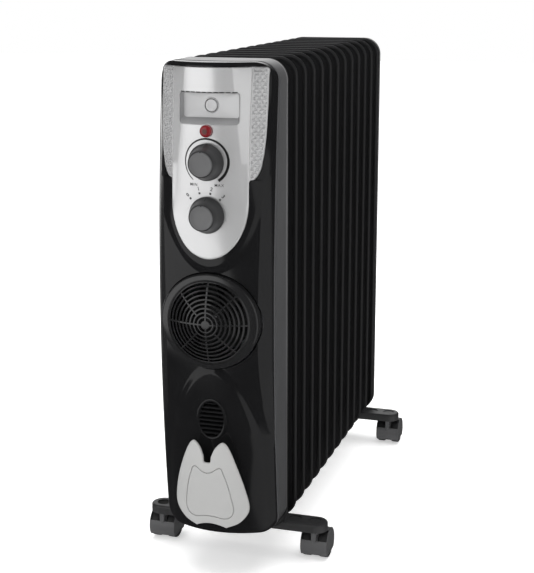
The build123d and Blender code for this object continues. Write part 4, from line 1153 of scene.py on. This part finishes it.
# ---- finishes of the CAD nodes that stay ----
KEPT = {
    "front_foot_bar": FOOT, "rear_foot_bar": FOOT, "u_bolts": ZINC, "wing_nuts": ZINC, "chassis_plate": ZINC,
    "chassis_screws": ZINC, "thermostat_shaft": STEEL, "selector_shaft": STEEL, "fan_shaft": STEEL,
    "fan_motor": STEEL, "heating_element": ZINC, "fan_impeller": INNER, "fan_shroud": INNER,
    "fan_switch": SWITCH, "thermostat_body": SWITCH, "selector_switch": SWITCH, "terminal_block": SWITCH,
    "thermal_cutout": SWITCH, "cord_gland": RUBBER,
}
for row, hand in CORNERS:
    KEPT[f"castor_{row}_{hand}_stem"] = STEEL
for node, finish in KEPT.items():
    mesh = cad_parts[node].data
    mesh.materials.clear()
    mesh.materials.append(finish)

# ---- floor, light and camera ----
floor_mesh = bpy.data.meshes.new("floor")
floor_mesh.from_pydata([(-9, -9, 0), (9, -9, 0), (9, 9, 0), (-9, 9, 0)], [], [(0, 1, 2, 3)])
floor = bpy.data.objects.new("floor", floor_mesh)
bpy.context.scene.collection.objects.link(floor)
paper = material("studio_floor", (0.88, 0.88, 0.88), 0.9, grain=(60, 0.02), mottle=(2, 0.01))
nodes, links = paper.node_tree.nodes, paper.node_tree.links
place = nodes.new("ShaderNodeTexCoord")
reach = nodes.new("ShaderNodeVectorMath")
reach.operation = "LENGTH"
links.new(place.outputs["Object"], reach.inputs[0])
glow = shader_node(nodes, "MapRange", From_Min=0.3, From_Max=1.1, To_Min=0.5, To_Max=1.0)
glow.interpolation_type = "SMOOTHSTEP"
links.new(reach.outputs["Value"], glow.inputs["Value"])
links.new(glow.outputs["Result"], nodes["Principled BSDF"].inputs["Emission Strength"])
nodes["Principled BSDF"].inputs["Emission Color"].default_value = (1, 1, 1, 1)
floor_mesh.materials.append(paper)
floor.visible_glossy = False


def area_light(name, place, target, width, height, radiance):
    """Soft rectangular light; radiance keeps its brightness the same at any size."""
    data = bpy.data.lights.new(name, "AREA")
    data.shape, data.size, data.size_y = "RECTANGLE", width, height
    data.energy = radiance * pi * width * height
    light = bpy.data.objects.new(name, data)
    light.location = place
    aim = Vector(target) - Vector(place)
    light.rotation_euler = aim.to_track_quat("-Z", "Y").to_euler()
    bpy.context.scene.collection.objects.link(light)
    return light


overhead = area_light("overhead", (0.0, 0.1, 2.3), (0.0, 0.1, 0.0), 2.6, 2.6, 3.3)
overhead.visible_glossy = False
area_light("left_softbox", (-1.05, -1.75, 0.6), (0.0, -0.2, 0.6), 1.75, 1.9, 0.75)
area_light("right_softbox", (1.68, -1.09, 0.1), (0.0, -0.2, 0.1), 2.4, 2.9, 0.36)
key = area_light("key", (-0.9, -2.3, 1.9), (0.0, -0.2, 0.35), 1.4, 1.4, 1.5)
key.visible_glossy = False

world = bpy.data.worlds.new("studio")
bpy.context.scene.world = world
world.use_nodes = True
nodes, links = world.node_tree.nodes, world.node_tree.links
nodes.clear()
rays = nodes.new("ShaderNodeLightPath")
seen = shader_node(nodes, "Background", Color=(1, 1, 1, 1), Strength=1.0)
around = shader_node(nodes, "Background", Color=(1, 1, 1, 1))
toward = nodes.new("ShaderNodeTexCoord")
facing = nodes.new("ShaderNodeVectorMath")
facing.operation = "DOT_PRODUCT"
facing.inputs[1].default_value = (-0.342, 0.94, 0.0)
links.new(toward.outputs["Generated"], facing.inputs[0])
backdrop = shader_node(nodes, "MapRange", From_Min=0.84, From_Max=0.95, To_Min=0.06, To_Max=1.25)
backdrop.interpolation_type = "SMOOTHSTEP"
links.new(facing.outputs["Value"], backdrop.inputs["Value"])
level = nodes.new("ShaderNodeMix")
level.inputs[3].default_value = 0.35
links.new(rays.outputs["Is Diffuse Ray"], level.inputs[0])
links.new(backdrop.outputs["Result"], level.inputs[2])
links.new(level.outputs[0], around.inputs["Strength"])
pick = nodes.new("ShaderNodeMixShader")
links.new(rays.outputs["Is Camera Ray"], pick.inputs["Fac"])
links.new(around.outputs["Background"], pick.inputs[1])
links.new(seen.outputs["Background"], pick.inputs[2])
output = nodes.new("ShaderNodeOutputWorld")
links.new(pick.outputs["Shader"], output.inputs["Surface"])

CAMERA_PLACE = (0.5086, -1.6648, 0.7370)
CAMERA_TURN, CAMERA_FALL, CAMERA_ROLL = 17.461, 13.721, -0.1235
LENS_LENGTH = 81.59
camera_data = bpy.data.cameras.new("camera")
camera_data.sensor_fit = "VERTICAL"
camera_data.sensor_height = 36.0
camera_data.lens = LENS_LENGTH
camera = bpy.data.objects.new("camera", camera_data)
camera.matrix_world = (Matrix.Translation(CAMERA_PLACE) @ Matrix.Rotation(radians(CAMERA_TURN), 4, "Z")
                       @ Matrix.Rotation(radians(90 - CAMERA_FALL), 4, "X")
                       @ Matrix.Rotation(radians(CAMERA_ROLL), 4, "Z"))
bpy.context.scene.collection.objects.link(camera)
bpy.context.scene.camera = camera
bpy.context.scene.view_settings.view_transform = "Standard"
